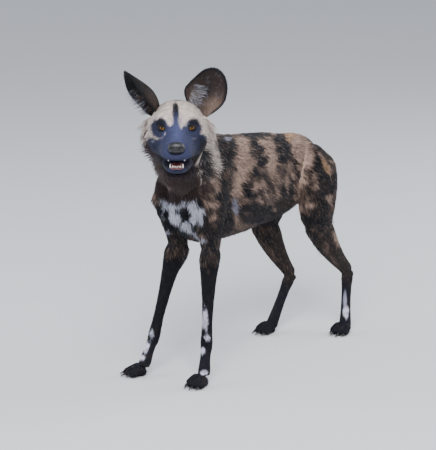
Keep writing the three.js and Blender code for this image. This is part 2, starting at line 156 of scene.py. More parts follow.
camera = linked("camera", bpy.data.cameras.new("camera"))
bpy.context.scene.camera = camera
camera.data.sensor_width = SENSOR_MM
camera.data.lens = FOCAL_PIXELS * SENSOR_MM / FRAME_HIGH
camera_back = Vector((
    math.sin(CAMERA_AZIMUTH) * math.cos(CAMERA_ELEVATION),
    -math.cos(CAMERA_AZIMUTH) * math.cos(CAMERA_ELEVATION),
    math.sin(CAMERA_ELEVATION),
))
camera_right = Vector((math.cos(CAMERA_AZIMUTH), math.sin(CAMERA_AZIMUTH), 0))
camera_up = camera_back.cross(camera_right)
aim_ray = Vector((AIM_PIXEL[0] - FRAME_WIDE / 2, FRAME_HIGH / 2 - AIM_PIXEL[1], -FOCAL_PIXELS))
level = Matrix((camera_right, camera_up, camera_back)).transposed()
camera_turn = level @ aim_ray.rotation_difference(Vector((0, 0, -1))).to_matrix()
camera_spot = MIDDLE + camera_back * CAMERA_AWAY
camera.matrix_world = Matrix.Translation(camera_spot) @ camera_turn.to_4x4()


def pixel_ray(px, py):
    ray = Vector((px - FRAME_WIDE / 2, FRAME_HIGH / 2 - py, -FOCAL_PIXELS))
    return (camera_turn @ ray).normalized()


print("lens", round(camera.data.lens, 1), "mm")

# %% [markdown]
# Light is plain and soft: a big lamp above the camera's left, a weaker one to its right, one
# from behind for the rim of the coat, and a pale floor that fades into a pale room.

# %% Floor and light
def area_light(name, place, size, power, colour):
    lamp = linked(name, bpy.data.lights.new(name, "AREA"))
    lamp.data.size, lamp.data.energy, lamp.data.color = size, power, colour
    lamp.location = place
    lamp.rotation_euler = (MIDDLE - Vector(place)).to_track_quat("-Z", "Y").to_euler()


area_light("key", (2.2, -2.4, 3.6), 2.2, 230, (1.0, 0.985, 0.98))
area_light("fill", (-2.8, -2.2, 1.8), 3.0, 60, (0.86, 0.92, 1.0))
area_light("rim", (1.2, 3.2, 2.6), 2.4, 90, (0.95, 0.97, 1.0))
world = bpy.data.worlds.new("room")
bpy.context.scene.world = world
world.use_nodes = True
room_light = world.node_tree.nodes["Background"].inputs
room_light["Color"].default_value = (0.80, 0.84, 0.92, 1)
room_light["Strength"].default_value = 0.75


def finished(name, form, material, slot, smooth=True):
    """The piece made of a form, with its faces outwards. Only the floor has no slot."""
    if slot:
        bmesh.ops.recalc_face_normals(form, faces=form.faces)
    mesh = bpy.data.meshes.new(name)
    form.to_mesh(mesh)
    form.free()
    mesh.polygons.foreach_set("use_smooth", [smooth] * len(mesh.polygons))
    mesh.materials.append(material)
    piece = linked(name, mesh)
    if slot:
        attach(piece, "root")
    return piece


def material_of(name, roughness=0.6, **sockets):
    made = bpy.data.materials.new(name)
    made.use_nodes = True
    shader = made.node_tree.nodes["Principled BSDF"]
    shader.inputs["Roughness"].default_value = roughness
    for socket, value in sockets.items():
        shader.inputs[socket.replace("_", " ")].default_value = value
    return made, made.node_tree, shader


def add(tree, kind, **values):
    """A shader node, with each value put in the input of that name or else in its settings."""
    made = tree.nodes.new(f"ShaderNode{kind}")
    for name, value in values.items():
        socket = made.inputs.get(name.replace("_", " "))
        if socket is None:
            setattr(made, name, value)
        else:
            socket.default_value = value
    return made


def ramp(tree, *stops):
    """A colour ramp through stops, each a position and a colour."""
    made = add(tree, "ValToRGB")
    elements = made.color_ramp.elements
    for element, (position, colour) in zip(elements, (stops[0], stops[-1])):
        element.position, element.color = position, (*colour, 1)
    for position, colour in stops[1:-1]:
        elements.new(position).color = (*colour, 1)
    return made


def wire(tree, *wires):
    """Links nodes: each wire is a node, its output, a node and its input."""
    for start, output, end, socket in wires:
        tree.links.new(start.outputs[output], end.inputs[socket])


FLOOR_SIZE = 12
floor_paint, tree, shader = material_of("floor_paint", 0.85)
grain = add(tree, "TexNoise", Scale=3)
tint = ramp(tree, (0, (0.74, 0.75, 0.77)), (1, (0.79, 0.80, 0.82)))
wire(tree, (grain, "Fac", tint, "Fac"), (tint, "Color", shader, "Base Color"))
ground = bmesh.new()
bmesh.ops.create_grid(ground, x_segments=1, y_segments=1, size=FLOOR_SIZE)
floor = finished("floor", ground, floor_paint, None)

# %% [markdown]
# ## The skin
# A real skin runs over the joints without a seam. The solids of flesh are merged and wrapped in
# one fine voxel mesh. The neck and the tail's brush carry locks in the solids, so their cores
# are lofted here from the same sizes: rings of a circle, bridged one to the next.

# %% Cores of the neck and the brush
def loft(form, stations, sides=24):
    rings = []
    for i, (x, y, z, wide, fore, back) in enumerate(stations):
        before = stations[max(i - 1, 0)]
        after = stations[min(i + 1, len(stations) - 1)]
        along = Vector([after[k] - before[k] for k in range(3)]).normalized()
        front = along.cross(Vector((1, 0, 0))).normalized()
        across = front.cross(along).normalized()
        made = bmesh.ops.create_circle(form, cap_ends=False, radius=1, segments=sides)
        for corner in made["verts"]:
            reach = fore if corner.co.y > 0 else back
            corner.co = at(x, y, z) + (across * corner.co.x * wide + front * corner.co.y * reach) * MM
        rings.append(list({edge for v in made["verts"] for edge in v.link_edges}))
    for ring, following in zip(rings, rings[1:]):
        bmesh.ops.bridge_loops(form, edges=ring + following)
    for ring in (rings[0], rings[-1]):
        bmesh.ops.holes_fill(form, edges=ring, sides=0)


NECK_CORE = [
    (0, -165, 588, 62, 92, 112),
    (8, -218, 618, 70, 80, 106),
    (38, -288, 664, 70, 68, 92),
    (72, -340, 708, 68, 60, 78),
    (104, -382, 744, 62, 52, 64),
]
BRUSH_CORE = [
    (-6, 364, 484, 12, 12, 12),
    (-9, 366, 430, 14, 13, 13),
    (-12, 367, 370, 15, 13, 13),
    (-14, 367, 316, 10, 9, 9),
    (-15, 366, 298, 5, 5, 5),
]
FLESH = ["torso", "head", "lower_jaw", "tail_root"] + [
    f"{part}_{side}"
    for part in ("upper_arm", "forearm", "front_paw", "thigh", "shank", "hind_paw")
    for side in ("left", "right")
]
TOOTH_FOOT = (-86, -91)  # in the head's frame: in front of this, above that, are teeth

def without_claws(corners, name):
    """Draws a paw's corners back to its toe tips, because the claws are pieces of their own."""
    foot, ahead, aside = next(rest for paw, *rest in paw_frames() if paw == name)
    for corner in corners:
        place = (np.array(corner.co) - np.array(HOME)) / MM - foot
        side_step = float(place @ aside) / TOE_SPREAD
        _, reach, radius = min(TOES, key=lambda toe: abs(toe[0] - side_step))
        beyond = float(place @ ahead) - (reach + radius * 0.95)
        if beyond > 0:
            corner.co -= Vector(ahead * beyond * MM)


flesh = bmesh.new()
for name in FLESH:
    first = len(flesh.verts)
    flesh.from_mesh(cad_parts[name].data)
    flesh.verts.ensure_lookup_table()
    if name == "lower_jaw":
        for corner in flesh.verts[first:]:
            spot = HEAD_BACK @ corner.co
            if spot.y < TOOTH_FOOT[0] * MM and spot.z > TOOTH_FOOT[1] * MM:
                spot.z = TOOTH_FOOT[1] * MM
                corner.co = HEAD @ spot
    if "paw" in name:
        without_claws(flesh.verts[first:], name)
bmesh.ops.remove_doubles(flesh, verts=flesh.verts, dist=1e-6)
loft(flesh, NECK_CORE)
loft(flesh, BRUSH_CORE, 14)
bmesh.ops.recalc_face_normals(flesh, faces=[f for f in flesh.faces if len(f.verts) > 3])
print("flesh:", len(flesh.faces), "faces")

# %% Wrap it in one mesh
VOXEL = 0.0022
skin_mesh = bpy.data.meshes.new("skin_rough")
flesh.to_mesh(skin_mesh)
flesh.free()
rough = linked("skin_rough", skin_mesh)
wrap = rough.modifiers.new("wrap", "REMESH")
wrap.mode, wrap.voxel_size = "VOXEL", VOXEL


def applied(piece):
    graph = bpy.context.evaluated_depsgraph_get()
    mesh = bpy.data.meshes.new_from_object(piece.evaluated_get(graph))
    piece.modifiers.clear()
    return mesh


skin_mesh = applied(rough)
bpy.data.objects.remove(rough)
print("skin:", len(skin_mesh.vertices), "corners")


# %% [markdown]
# Smoothing runs in arrays, because there are many corners: each one moves towards the mean
# of its neighbours. The body is smoothed long, which turns the creases between solids into
# soft hollows, and longer still round the joints and the folds of the flanks. The head and the
# paws are smoothed only a little, so that the lips, the stop and the toes stay crisp.

# %% Smooth
def corners_of(mesh):
    spots = np.empty(len(mesh.vertices) * 3)
    mesh.vertices.foreach_get("co", spots)
    return spots.reshape(-1, 3)


def edges_of(mesh):
    pairs = np.empty(len(mesh.edges) * 2, int)
    mesh.edges.foreach_get("vertices", pairs)
    return pairs.reshape(-1, 2)


def normals_of(mesh):
    out = np.empty(len(mesh.vertices) * 3)
    mesh.vertices.foreach_get("normal", out)
    return out.reshape(-1, 3)


def neighbour_mean(values, pairs):
    count = len(values)
    links_at = np.bincount(pairs.ravel(), minlength=count).clip(1)
    total = np.empty_like(values)
    for k in range(values.shape[1]):
        total[:, k] = np.bincount(pairs[:, 0], values[pairs[:, 1], k], count)
        total[:, k] += np.bincount(pairs[:, 1], values[pairs[:, 0], k], count)
    return total / links_at[:, None]


def smoothed(values, pairs, times, share=0.5, back=0.0):
    """Averages with the neighbours; a step back after each one keeps thin limbs from shrinking."""
    for _ in range(times):
        values = values + share * (neighbour_mean(values, pairs) - values)
        if back:
            values = values - back * (neighbour_mean(values, pairs) - values)
    return values


def to_head(spots):
    return local_to(HEAD, spots)


def put(mesh, spots):
    mesh.vertices.foreach_set("co", spots.ravel())
    mesh.update()


def step(values, low, high):
    share = np.clip((values - low) / (high - low), 0, 1)
    return share * share * (3 - 2 * share)


FINE_PASSES = 3
SOFT = dict(times=60, share=0.6, back=0.56)
SOFTER = dict(times=110, share=0.6, back=0.565)
JOINT_REACH, FOLD_REACH = (50, 90), (55, 100)
FLANK_FOLDS = [(70, 182, 545), (66, 165, 470)]  # where the thigh meets the trunk

home = np.array(HOME)
spots = corners_of(skin_mesh)
pairs = edges_of(skin_mesh)
head_spots = to_head(spots)
head_share = step(-head_spots[:, 1], -70, -20)[:, None] * step(spots[:, 2], 0.62, 0.66)[:, None]
paw_share = (1 - step(spots[:, 2], 0.03, 0.06))[:, None]
fine = smoothed(spots, pairs, FINE_PASSES)
soft = smoothed(fine, pairs, **SOFT)
keep = np.clip(head_share + paw_share, 0, 1)
softer = smoothed(soft, pairs, **SOFTER)
creases = [
    (limb[joint], JOINT_REACH)
    for limb in LIMBS.values()
    for joint in ("elbow", "carpus", "stifle", "hock")
]
creases += [(np.array(place) * (side, 1, 1), FOLD_REACH) for _, side in SIDES for place in FLANK_FOLDS]
bent = np.zeros(len(spots))
for place, (near, far) in creases:
    away = np.linalg.norm((soft - home) / MM - np.array(place), axis=1)
    bent = np.maximum(bent, 1 - step(away, near, far))
soft += bent[:, None] * (softer - soft)
spots = soft * (1 - keep) + fine * keep
put(skin_mesh, spots)
print("smoothed; head corners:", int(head_share.sum()))

# %% [markdown]
# Over the smooth form come the shapes that a sculptor would press in: brow ridges, the
# hollows of the cheeks, the pads that the whiskers grow from, the shoulder blade, the point of
# the hip and the grooves between the toes. Each is a named soft bump with a place, a size and
# a push in millimetres, and most are mirrored to the other side.

# %% Press in the forms
def bumps(spots, forms, mirrored=True):
    moved = spots.copy()
    for _, place, size, push in forms:
        for side in (1, -1) if mirrored and place[0] else (1,):
            spot = np.array(place, float) * (side, 1, 1)
            far = (((spots - spot) / size) ** 2).sum(1)
            moved += np.exp(-far)[:, None] * (np.array(push, float) * (side, 1, 1))
    return moved


EYE_AT, EYE_RADIUS = (36.5, -23, 1.5), 11.5
SOCKET_RADIUS = 14.5
NOSE_AT = (0, -114, -40)
FACE_FORMS = [
    ("brow", (33, -20, 17), (13, 12, 7), (1, -4.5, 1.5)),
    ("inner corner", (24, -30, -4), (7, 9, 7), (-1.5, 3.5, 0)),
    ("cheek bone", (56, -8, -20), (16, 15, 9), (3.5, -2.5, 0)),
    ("cheek hollow", (50, -20, -48), (13, 17, 14), (-5, 2, 0)),
    ("whisker pad", (27, -92, -60), (11, 17, 9), (4.5, -1.5, 0)),
    ("bridge", (0, -60, -2), (13, 26, 12), (0, 0, 3)),
    ("bridge side", (19, -58, -22), (7, 25, 14), (-3, 0, 0)),
    ("forehead groove", (0, -8, 44), (7, 16, 26), (0, 2.6, 0)),
    ("temple", (52, 12, 34), (14, 20, 16), (-4, 0, -1)),
    ("upper lip edge", (28, -88, -76), (12, 26, 4), (2, 0, -2.5)),
    ("lower lip edge", (24, -84, -93), (10, 24, 4), (2.2, -1, 1)),
    ("chin", (0, -98, -104), (15, 9, 8), (0, -2.5, -1)),
    ("corner of the mouth", (40, -42, -82), (6, 8, 6), (-4, 0, 0)),
]
BODY_FORMS = [
    ("shoulder blade", (78, -182, 600), (14, 22, 60), (6, 0, 0)),
    ("behind the shoulder", (88, -128, 560), (22, 22, 80), (-7, 0, 0)),
    ("point of shoulder", (72, -292, 520), (22, 20, 24), (3, -7, 0)),
    ("breast groove", (0, -318, 500), (14, 26, 50), (0, 8, 0)),
    ("hip point", (58, 172, 634), (18, 20, 14), (4, 0, 5)),
    ("loin hollow", (72, 118, 560), (24, 26, 40), (-7, 0, 0)),
    ("flank fold", (62, 150, 450), (14, 20, 30), (5, 0, 0)),
    ("ham muscle", (82, 268, 500), (14, 26, 60), (5, 0, 0)),
    ("ham groove", (84, 222, 480), (12, 9, 60), (-4, 0, 0)),
    ("croup", (0, 326, 600), (66, 50, 44), (0, -14, -24)),
    ("point of the buttock", (40, 338, 545), (30, 28, 48), (0, -10, -3)),
    ("upper rump", (44, 300, 612), (46, 58, 46), (-6, -8, -9)),
    ("withers", (0, -165, 690), (20, 40, 14), (0, 0, 5)),
]
TOE_GROOVES, GROOVE_HALF_WIDTH, GROOVE_DEPTH = (-14.2, 0, 14.2), 2.8, 3.4
PAW_REACH = 80
UNEVEN_FORMS = [("inside of the right elbow", (-44, -206, 338), (22, 26, 52), (7, 7, 0))]


def with_toes(place, directions):
    """Presses the grooves between the toes into each paw."""
    pressed = place.copy()
    for _, foot, ahead, aside in paw_frames():
        offset = place - foot
        out, across = offset @ ahead, offset @ aside / TOE_SPREAD
        near = step(out, 16, 30) * (1 - step(np.abs(across), 26, 32)) * (1 - step(place[:, 2], 34, 44))
        near *= np.linalg.norm(offset, axis=1) < PAW_REACH
        grooves = [np.exp(-((across - middle) / GROOVE_HALF_WIDTH) ** 2) for middle in TOE_GROOVES]
        pressed -= directions * (near * sum(grooves) * GROOVE_DEPTH)[:, None]
    return pressed


body_spots = with_toes((spots - home) / MM, normals_of(skin_mesh))
body_spots = bumps(body_spots, BODY_FORMS)
body_spots = bumps(body_spots, UNEVEN_FORMS, False)
spots = body_spots * MM + home
face = to_head(spots)
pushed = (bumps(face, FACE_FORMS) - face) * head_share
spots = spots + pushed @ HEAD_ROWS.T * MM
face = to_head(spots)
for side in (1, -1):
    eye_at = np.array(EYE_AT) * (side, 1, 1)
    off = face - eye_at
    far = np.linalg.norm(off, axis=1)
    socket = far < SOCKET_RADIUS
    depth = np.minimum(far[socket], EYE_RADIUS - 1)
    drawn = off[socket] / far[socket, None].clip(1e-6) * depth[:, None]
    spots[socket] += (drawn - off[socket]) @ HEAD_ROWS.T * MM
put(skin_mesh, spots)
print("forms pressed in:", len(FACE_FORMS) + len(BODY_FORMS))

# %% [markdown]
# ## The lie of the coat
# Fur lies away from the nose, down the neck and legs, and back along the trunk. Each length of
# the body is a bone here, with its reach, the way its hair lies, and its coat: depth, length
# and width of a tuft in millimetres, how far it lifts, and tufts for each square centimetre.

# %% Bones and coats
def coat(depth, length, width, lift, close):
    return (depth, length, width, lift, close)


TRUNK = coat(3.8, 24, 2.0, 14, 27)
HAUNCH = coat(3.2, 19, 1.9, 13, 30)
LIMB = coat(1.8, 11, 1.6, 12, 38)
FOOT = coat(0.8, 5.5, 1.3, 10, 38)
NECK = coat(1.0, 34, 2.4, 20, 24)
RUMP = coat(4.5, 20, 2.0, 8, 30)
TAIL = coat(3.0, 30, 2.2, 14, 28)
FACE = coat(1.6, 9, 1.3, 13, 60)
BONES = [
    ("rear trunk", (0, 300, 560), (0, 60, 540), 100, (0, 0.84, -0.5), TRUNK),
    ("fore trunk", (0, 60, 540), (0, -190, 560), 105, (0, 0.84, -0.5), TRUNK),
    ("breast", (0, -230, 600), (0, -270, 480), 74, (0, 0.1, -1), TRUNK),
    ("neck", (4, -205, 612), (92, -368, 734), 74, (-0.2, 0.62, -0.75), NECK),
    ("tail root", (0, 320, 590), (-7, 364, 480), 16, (0, 0.1, -1), RUMP),
    ("brush", (-7, 364, 470), (-15, 366, 300), 14, (0, 0, -1), TAIL),
    ("skull", (128, -411, 775), (160, -446, 750), 70, (0, 0, 0), FACE),
    ("muzzle", (185, -474, 736), (225, -516, 726), 34, (0, 0, 0), FACE),
]
for side_name, side in SIDES:
    limb = LIMBS[side_name]
    foot = np.array(limb["front"], float)
    hind = np.array(limb["hind"], float)
    BONES += [
        (f"arm {side_name}", limb["withers"], limb["elbow"], 44, (0, 0.4, -0.9), HAUNCH),
        (f"forearm {side_name}", limb["elbow"], limb["carpus"], 22, (0, 0.1, -1), LIMB),
        (f"pastern {side_name}", limb["carpus"], foot, 17, (0, 0, -1), FOOT),
        (f"paw {side_name}", foot, foot + forward(limb["front_turn"]), 16, (0, -1, -0.2), FOOT),
        (f"thigh {side_name}", limb["hip"], limb["stifle"], 66, (0, 0.5, -0.86), HAUNCH),
        (f"shank {side_name}", limb["stifle"], limb["hock"], 27, (0, 0.5, -0.86), LIMB),
        (f"cannon {side_name}", limb["hock"], hind, 17, (0, 0, -1), FOOT),
        (f"toes {side_name}", hind, hind + forward(limb["hind_turn"]), 16, (0, -1, -0.2), FOOT),
    ]


def bone_distance(spots, start, end, reach):
    start, end = np.array(start, float), np.array(end, float)
    along = end - start
    share = np.clip((spots - start) @ along / (along @ along), 0, 1)
    return np.linalg.norm(spots - start - share[:, None] * along, axis=1) / reach


def bone_weights(spots):
    far = np.stack([bone_distance(spots, s, e, r) for _, s, e, r, _, _ in BONES], 1)
    near = np.exp(-6 * (far - far.min(1, keepdims=True)))
    return near / near.sum(1, keepdims=True)


def head_lie(face):
    """Away from the nose, over the brow and down the cheeks."""
    back = step(face[:, 1], -100, 20)
    over_brow = 0.75 * step(face[:, 2], -20, 40) * (1 - step(face[:, 1], -5, 40))
    down_cheek = 0.5 * step(-face[:, 2], 20, 80) * back
    aside = 0.012 * face[:, 0] * (0.4 + back)
    lie = np.stack([aside, 0.5 + 0.5 * back, over_brow - down_cheek], 1)
    return lie / np.linalg.norm(lie, axis=1, keepdims=True)


def coat_fields(spots):
    """The lie and the five sizes of the coat at each corner, from the bones near it."""
    place = (spots - home) / MM
    weights = bone_weights(place)
    lies = np.array([lie for _, _, _, _, lie, _ in BONES], float)
    sizes = np.array([coat for _, _, _, _, _, coat in BONES], float)
    head_part = weights[:, [i for i, b in enumerate(BONES) if b[0] in ("skull", "muzzle")]].sum(1)
    lie = weights @ lies + head_part[:, None] * (head_lie(to_head(spots)) @ HEAD_ROWS.T)
    return lie, weights @ sizes, weights, head_part


SOLE_HEIGHT = 0.0012
lie, sizes, weights, head_part = coat_fields(spots)
face = to_head(spots)
muzzle = step(-face[:, 1], 30, 75) * head_part
sizes[:, 0] -= 0.9 * muzzle
depth = smoothed(sizes[:, :1], pairs, 12)
spots = spots - normals_of(skin_mesh) * depth * MM
spots[:, 2] = np.maximum(spots[:, 2], SOLE_HEIGHT)
put(skin_mesh, spots)
print("coat depth from", round(float(depth.min()), 1), "to", round(float(depth.max()), 1), "mm")

# %% [markdown]
# The body needs fewer faces than the face does. Decimating only the body keeps the whole
# skin under the limit for one piece, and the head at the full fineness of the wrap.

# %% Thin the body
BODY_SHARE = 0.32
skin = linked("skin", skin_mesh)
body_group = skin.vertex_groups.new(name="body")
body_rows = np.nonzero(head_part < 0.5)[0]
body_group.add([int(i) for i in body_rows], 1.0, "REPLACE")
thin = skin.modifiers.new("thin", "DECIMATE")
thin.ratio = BODY_SHARE
thin.vertex_group = "body"
skin.data = applied(skin)
skin.data.name = "skin"
skin_mesh = skin.data
for face_of_skin in skin_mesh.polygons:
    face_of_skin.use_smooth = True
skin.vertex_groups.clear()
print("skin:", len(skin_mesh.polygons), "faces")

# %% [markdown]
# The ears of a wild dog are huge round bowls. Each one starts as a sphere, which is a closed
# surface already: its front half is pushed back to line the bowl, and its back half follows
# it under three millimetres behind, so the ear is a thin shell with a sound rim. The lean and
# the turn are in degrees, and the flare widens or narrows the ear on one side of its foot.

# %% Ears
EAR_LENGTH, EAR_HALF_WIDTH, EAR_THICK = 141, 51, 2.6
EAR_AROUND, EAR_RINGS = 56, 36
EARS = {
    "left": dict(
        side=1, pale=-1, lean=21, turn=12, cup=26, narrow=6, sweep=1, hair_top=70,
        flare=0.28, peak=0, foot=(55, 44, 25),
    ),
    "right": dict(
        side=-1, pale=1, lean=34, turn=68, cup=26, narrow=14, sweep=-1, hair_top=90,
        flare=-0.2, peak=10, foot=(56, 44, 24),
    ),
}


def ear_frame(ear):
    side, foot = ear["side"], ear["foot"]
    lean = Matrix.Rotation(math.radians(side * ear["lean"]), 4, "Y")
    turn = Matrix.Rotation(math.radians(side * ear["turn"]), 4, "Z")
    return HEAD @ Matrix.Translation(Vector((side * foot[0], foot[1], foot[2])) * MM) @ lean @ turn


def ball_shell(form, around, rings):
    """Corners and faces of a unit ball in a set order, so that the hairs' draws repeat each run."""
    top, bottom = form.verts.new((0, 0, 1)), form.verts.new((0, 0, -1))
    turns = [2 * math.pi * k / around for k in range(around)]
    loops = []
    for ring in range(1, rings):
        up, out = math.cos(math.pi * ring / rings), math.sin(math.pi * ring / rings)
        loops.append([form.verts.new((out * math.cos(t), out * math.sin(t), up)) for t in turns])
    for k in range(around):
        form.faces.new((top, loops[0][k - 1], loops[0][k]))
        form.faces.new((bottom, loops[-1][k], loops[-1][k - 1]))
        for upper, lower in zip(loops, loops[1:]):
            form.faces.new((upper[k], upper[k - 1], lower[k - 1], lower[k]))
    return [top, bottom, *(corner for loop in loops for corner in loop)]


def ear_shell(form, ear):
    corners = ball_shell(form, EAR_AROUND, EAR_RINGS)
    frame_of_ear = ear_frame(ear)
    for corner in corners:
        ball = corner.co.copy()
        out = math.hypot(ball.x, ball.y)
        angle = math.atan2(ball.y, ball.x)
        spread = out ** 0.8 if out > 1e-6 else 0
        up, across = math.sin(angle), math.cos(angle)
        wide = EAR_HALF_WIDTH * (1 - 0.42 * max(-up, 0) ** 1.4)
        wide *= 1 + ear["flare"] * max(-across, 0) * math.exp(-(((up + 0.25) / 0.5) ** 2))
        x = across * wide * spread
        z = up * EAR_LENGTH / 2 * spread + EAR_LENGTH * 0.43 + ear["peak"] * max(up * spread, 0) ** 3
        bowl = ear["cup"] * (1 - spread ** 2) * (1.15 - 0.35 * up * spread)
        curl = ear["narrow"] * (x / EAR_HALF_WIDTH) ** 2
        fold = 2.5 * math.exp(-(((x + 30) / 9) ** 2) - ((z - 30) / 34) ** 2)
        half = EAR_THICK / 2 * min(1, 0.35 + 1.6 * abs(ball.z))
        y = bowl - curl - fold + (half if ball.z < 0 else -half) * min(1, abs(ball.z) * 8)
        corner.co = frame_of_ear @ (Vector((x, y, z)) * MM)
    return corners


with_ears = bmesh.new()
with_ears.from_mesh(skin_mesh)
ear_number = with_ears.verts.layers.int.new("ear_number")
for number, ear in enumerate(EARS.values(), 1):
    for corner in ear_shell(with_ears, ear):
        corner[ear_number] = number
ear_faces = [f for f in with_ears.faces if f.verts[0][ear_number]]
bmesh.ops.recalc_face_normals(with_ears, faces=ear_faces)
# A known fault: the right ear's faces point inwards, so its two sides have each other's paint.
right_faces = [f for f in ear_faces if f.verts[0][ear_number] == len(EARS)]
bmesh.ops.reverse_faces(with_ears, faces=right_faces)
for ear_face in ear_faces:
    ear_face.smooth = True
with_ears.to_mesh(skin_mesh)
with_ears.free()
skin_mesh.update()
ear_of = np.zeros(len(skin_mesh.vertices), np.int32)
skin_mesh.attributes["ear_number"].data.foreach_get("value", ear_of)
print("ears add", int((ear_of > 0).sum()), "corners")

# %% [markdown]
# ## The pattern
# No two wild dogs share a pattern, so this one is read from the photograph: each blotch is a
# place in its frame, two radii and a tilt, all in pixels, and a tone. A ray from the camera
# carries it onto the skin. The blotch stays near that spot, its edge is frayed by noise, and
# the flank that the photograph hides gets the same blotches mirrored and warped. Hair carries
# a root's colour on along its lie, so the blotches are laid a few pixels up the lie.

# %% Tones and noise
TONES = {
    "black": (0.0060, 0.0062, 0.0110),
    "umber": (0.024, 0.016, 0.015),
    "brindle": (0.105, 0.070, 0.055),
    "tan": (0.400, 0.278, 0.220),
    "orange": (0.470, 0.290, 0.165),
    "cream": (0.700, 0.600, 0.540),
    "white": (0.700, 0.710, 0.840),
    "grey": (0.270, 0.280, 0.370),
    "russet": (0.040, 0.022, 0.022),
    "slate": (0.026, 0.030, 0.070),
    # The next tone is a painted highlight: the blue sheen that light leaves along the black bridge of the
    # muzzle.
    "bridge_sheen": (0.060, 0.070, 0.160),
}
TONE_ROWS = {name: np.array(tone) for name, tone in TONES.items()}


def cloud(place, size, seed=0):
    """Smooth noise from -1 to 1, with lumps of the given size in millimetres."""
    table = np.random.default_rng(SEED + seed).uniform(-1, 1, (32, 32, 32))
    grid = place / size + 1000
    cell = np.floor(grid).astype(int)
    share = grid - cell
    share = share * share * (3 - 2 * share)
    total = np.zeros(len(place))
    for corner in range(8):
        pick = np.array([(corner >> k) & 1 for k in range(3)])
        weight = np.prod(np.where(pick, share, 1 - share), axis=1)
        spot = (cell + pick) % 32
        total += weight * table[spot[:, 0], spot[:, 1], spot[:, 2]]
    return total


# %% Blotches, each as pixel x, pixel y, two radii in pixels, tilt in degrees, tone
PIXELS_PER_MM = 0.345
TRUNK_MARKS = [
    (241, 147, 6, 10, 0, "tan"), (243, 163, 8, 10, 0, "tan"), (240, 178, 8, 10, 0, "tan"),
    (234, 188, 4, 9, 0, "tan"), (262, 150, 6, 8, 0, "tan"), (270, 160, 6, 14, 0, "tan"),
    (222, 150, 13, 14, 0, "black"), (224, 172, 7, 10, 0, "black"), (226, 187, 7, 8, 0, "black"),
    (224, 205, 8, 14, 0, "black"), (225, 222, 10, 12, 0, "black"),
    (225, 140, 3, 1.3, 15, "grey"), (228, 136, 16, 2, 0, "black"), (245, 137, 6, 2.5, 0, "black"),
    (255, 136, 10, 3, 0, "black"), (252, 145, 4.5, 5, 0, "black"),
    (257, 152, 5, 7, 45, "black"), (262, 160, 5, 7, 45, "black"), (254, 172, 3, 6, 0, "black"),
    (262, 143, 4, 2.4, 0, "tan"), (270, 152, 4, 9, 0, "tan"),
    (272, 135, 14, 4, 0, "black"), (281, 140, 9, 8, 0, "black"), (284, 150, 7, 7, 0, "black"),
    (281, 158, 6, 5, 0, "black"), (293, 137, 9, 7, 0, "orange"), (300, 145, 10, 10, 0, "tan"),
    # The thin umber blotch at (295, 165) and the black one at (297, 178) are painted shade in the fold
    # where the thigh meets the flank.
    (303, 158, 9, 12, 0, "tan"), (300, 172, 6, 10, 0, "tan"), (295, 165, 2, 8, 0, "umber"),
    (297, 178, 2.5, 10, 0, "black"), (315, 142, 8, 6, 40, "black"), (317, 165, 6, 10, 0, "black"),
    (322, 175, 6, 8, 0, "black"), (326, 165, 2.5, 8, -25, "orange"),
    (332, 185, 5, 10, 0, "black"), (320, 190, 10, 8, 0, "black"), (314, 186, 4, 2.5, 0, "tan"),
    (313, 196, 3, 3, 0, "brindle"), (312, 204, 4, 3.5, 0, "tan"), (330, 197, 3.5, 4, 0, "tan"),
    (328, 206, 2.5, 3, 0, "tan"), (320, 205, 12, 10, 0, "black"), (318, 215, 2, 3, 0, "tan"),
    (318, 220, 12, 8, 0, "black"), (300, 185, 4, 8, 0, "tan"), (303, 196, 3, 10, 0, "brindle"),
    (303, 207, 2.5, 4, 0, "tan"), (316, 227, 3, 1.6, 0, "brindle"), (322, 233, 2, 1.6, 0, "brindle"),
    (312, 204, 4, 3, 0, "tan"), (330, 197, 3, 3.5, 0, "tan"),
    (250, 192, 8, 7, 0, "black"), (246, 185, 5, 5, 0, "black"), (255, 186, 3, 7, 45, "tan"),
    (255, 207, 16, 5, 0, "black"), (265, 218, 24, 8, 0, "black"), (283, 190, 4, 6, 0, "black"),
    (288, 187, 2.2, 9, -20, "tan"), (291, 190, 2.5, 12, 0, "black"), (283, 205, 8, 10, 0, "umber"),
    (235, 206, 2.8, 8, -10, "grey"), (215, 182, 3.5, 9, -20, "tan"), (226, 172, 4, 5, 0, "brindle"),
    (215, 165, 6, 8, 0, "black"), (218, 195, 6, 5, 0, "black"), (207, 202, 3.5, 3, 0, "tan"),
    (215, 203, 4, 4, 0, "tan"), (213, 216, 3.5, 4, 0, "tan"), (203, 195, 2, 5, 0, "tan"),
    (213, 222, 6, 5, 0, "umber"),
]
BREAST_MARKS = [
    (178, 215, 22, 22, 0, "black"),
    (169, 207, 8, 7, 0, "white"), (165, 202, 7, 3, 50, "white"), (172, 212, 6, 6, 0, "white"),
    (175, 218, 6, 5, 0, "white"), (183, 203, 10, 2.5, -30, "white"), (196, 210, 5, 10, -15, "white"),
    (192, 218, 5, 4, 0, "white"), (200, 220, 2, 5, 0, "white"), (184, 225, 4, 5, 50, "white"),
    (185, 227, 2, 7, -50, "white"), (196, 238, 2, 6, -40, "white"), (202, 241, 3, 2, 0, "white"),
    (162, 216, 1.5, 3, 0, "white"), (166, 232, 4, 1.5, 0, "white"),
    (185, 213, 4, 6, 0, "black"), (176, 210, 1, 3, 0, "black"), (198, 203, 3, 4, 0, "black"),
    (165, 213, 3, 6, 0, "black"), (200, 190, 4, 4, 0, "grey"),
    (180, 188, 27, 15, 0, "russet"),
]
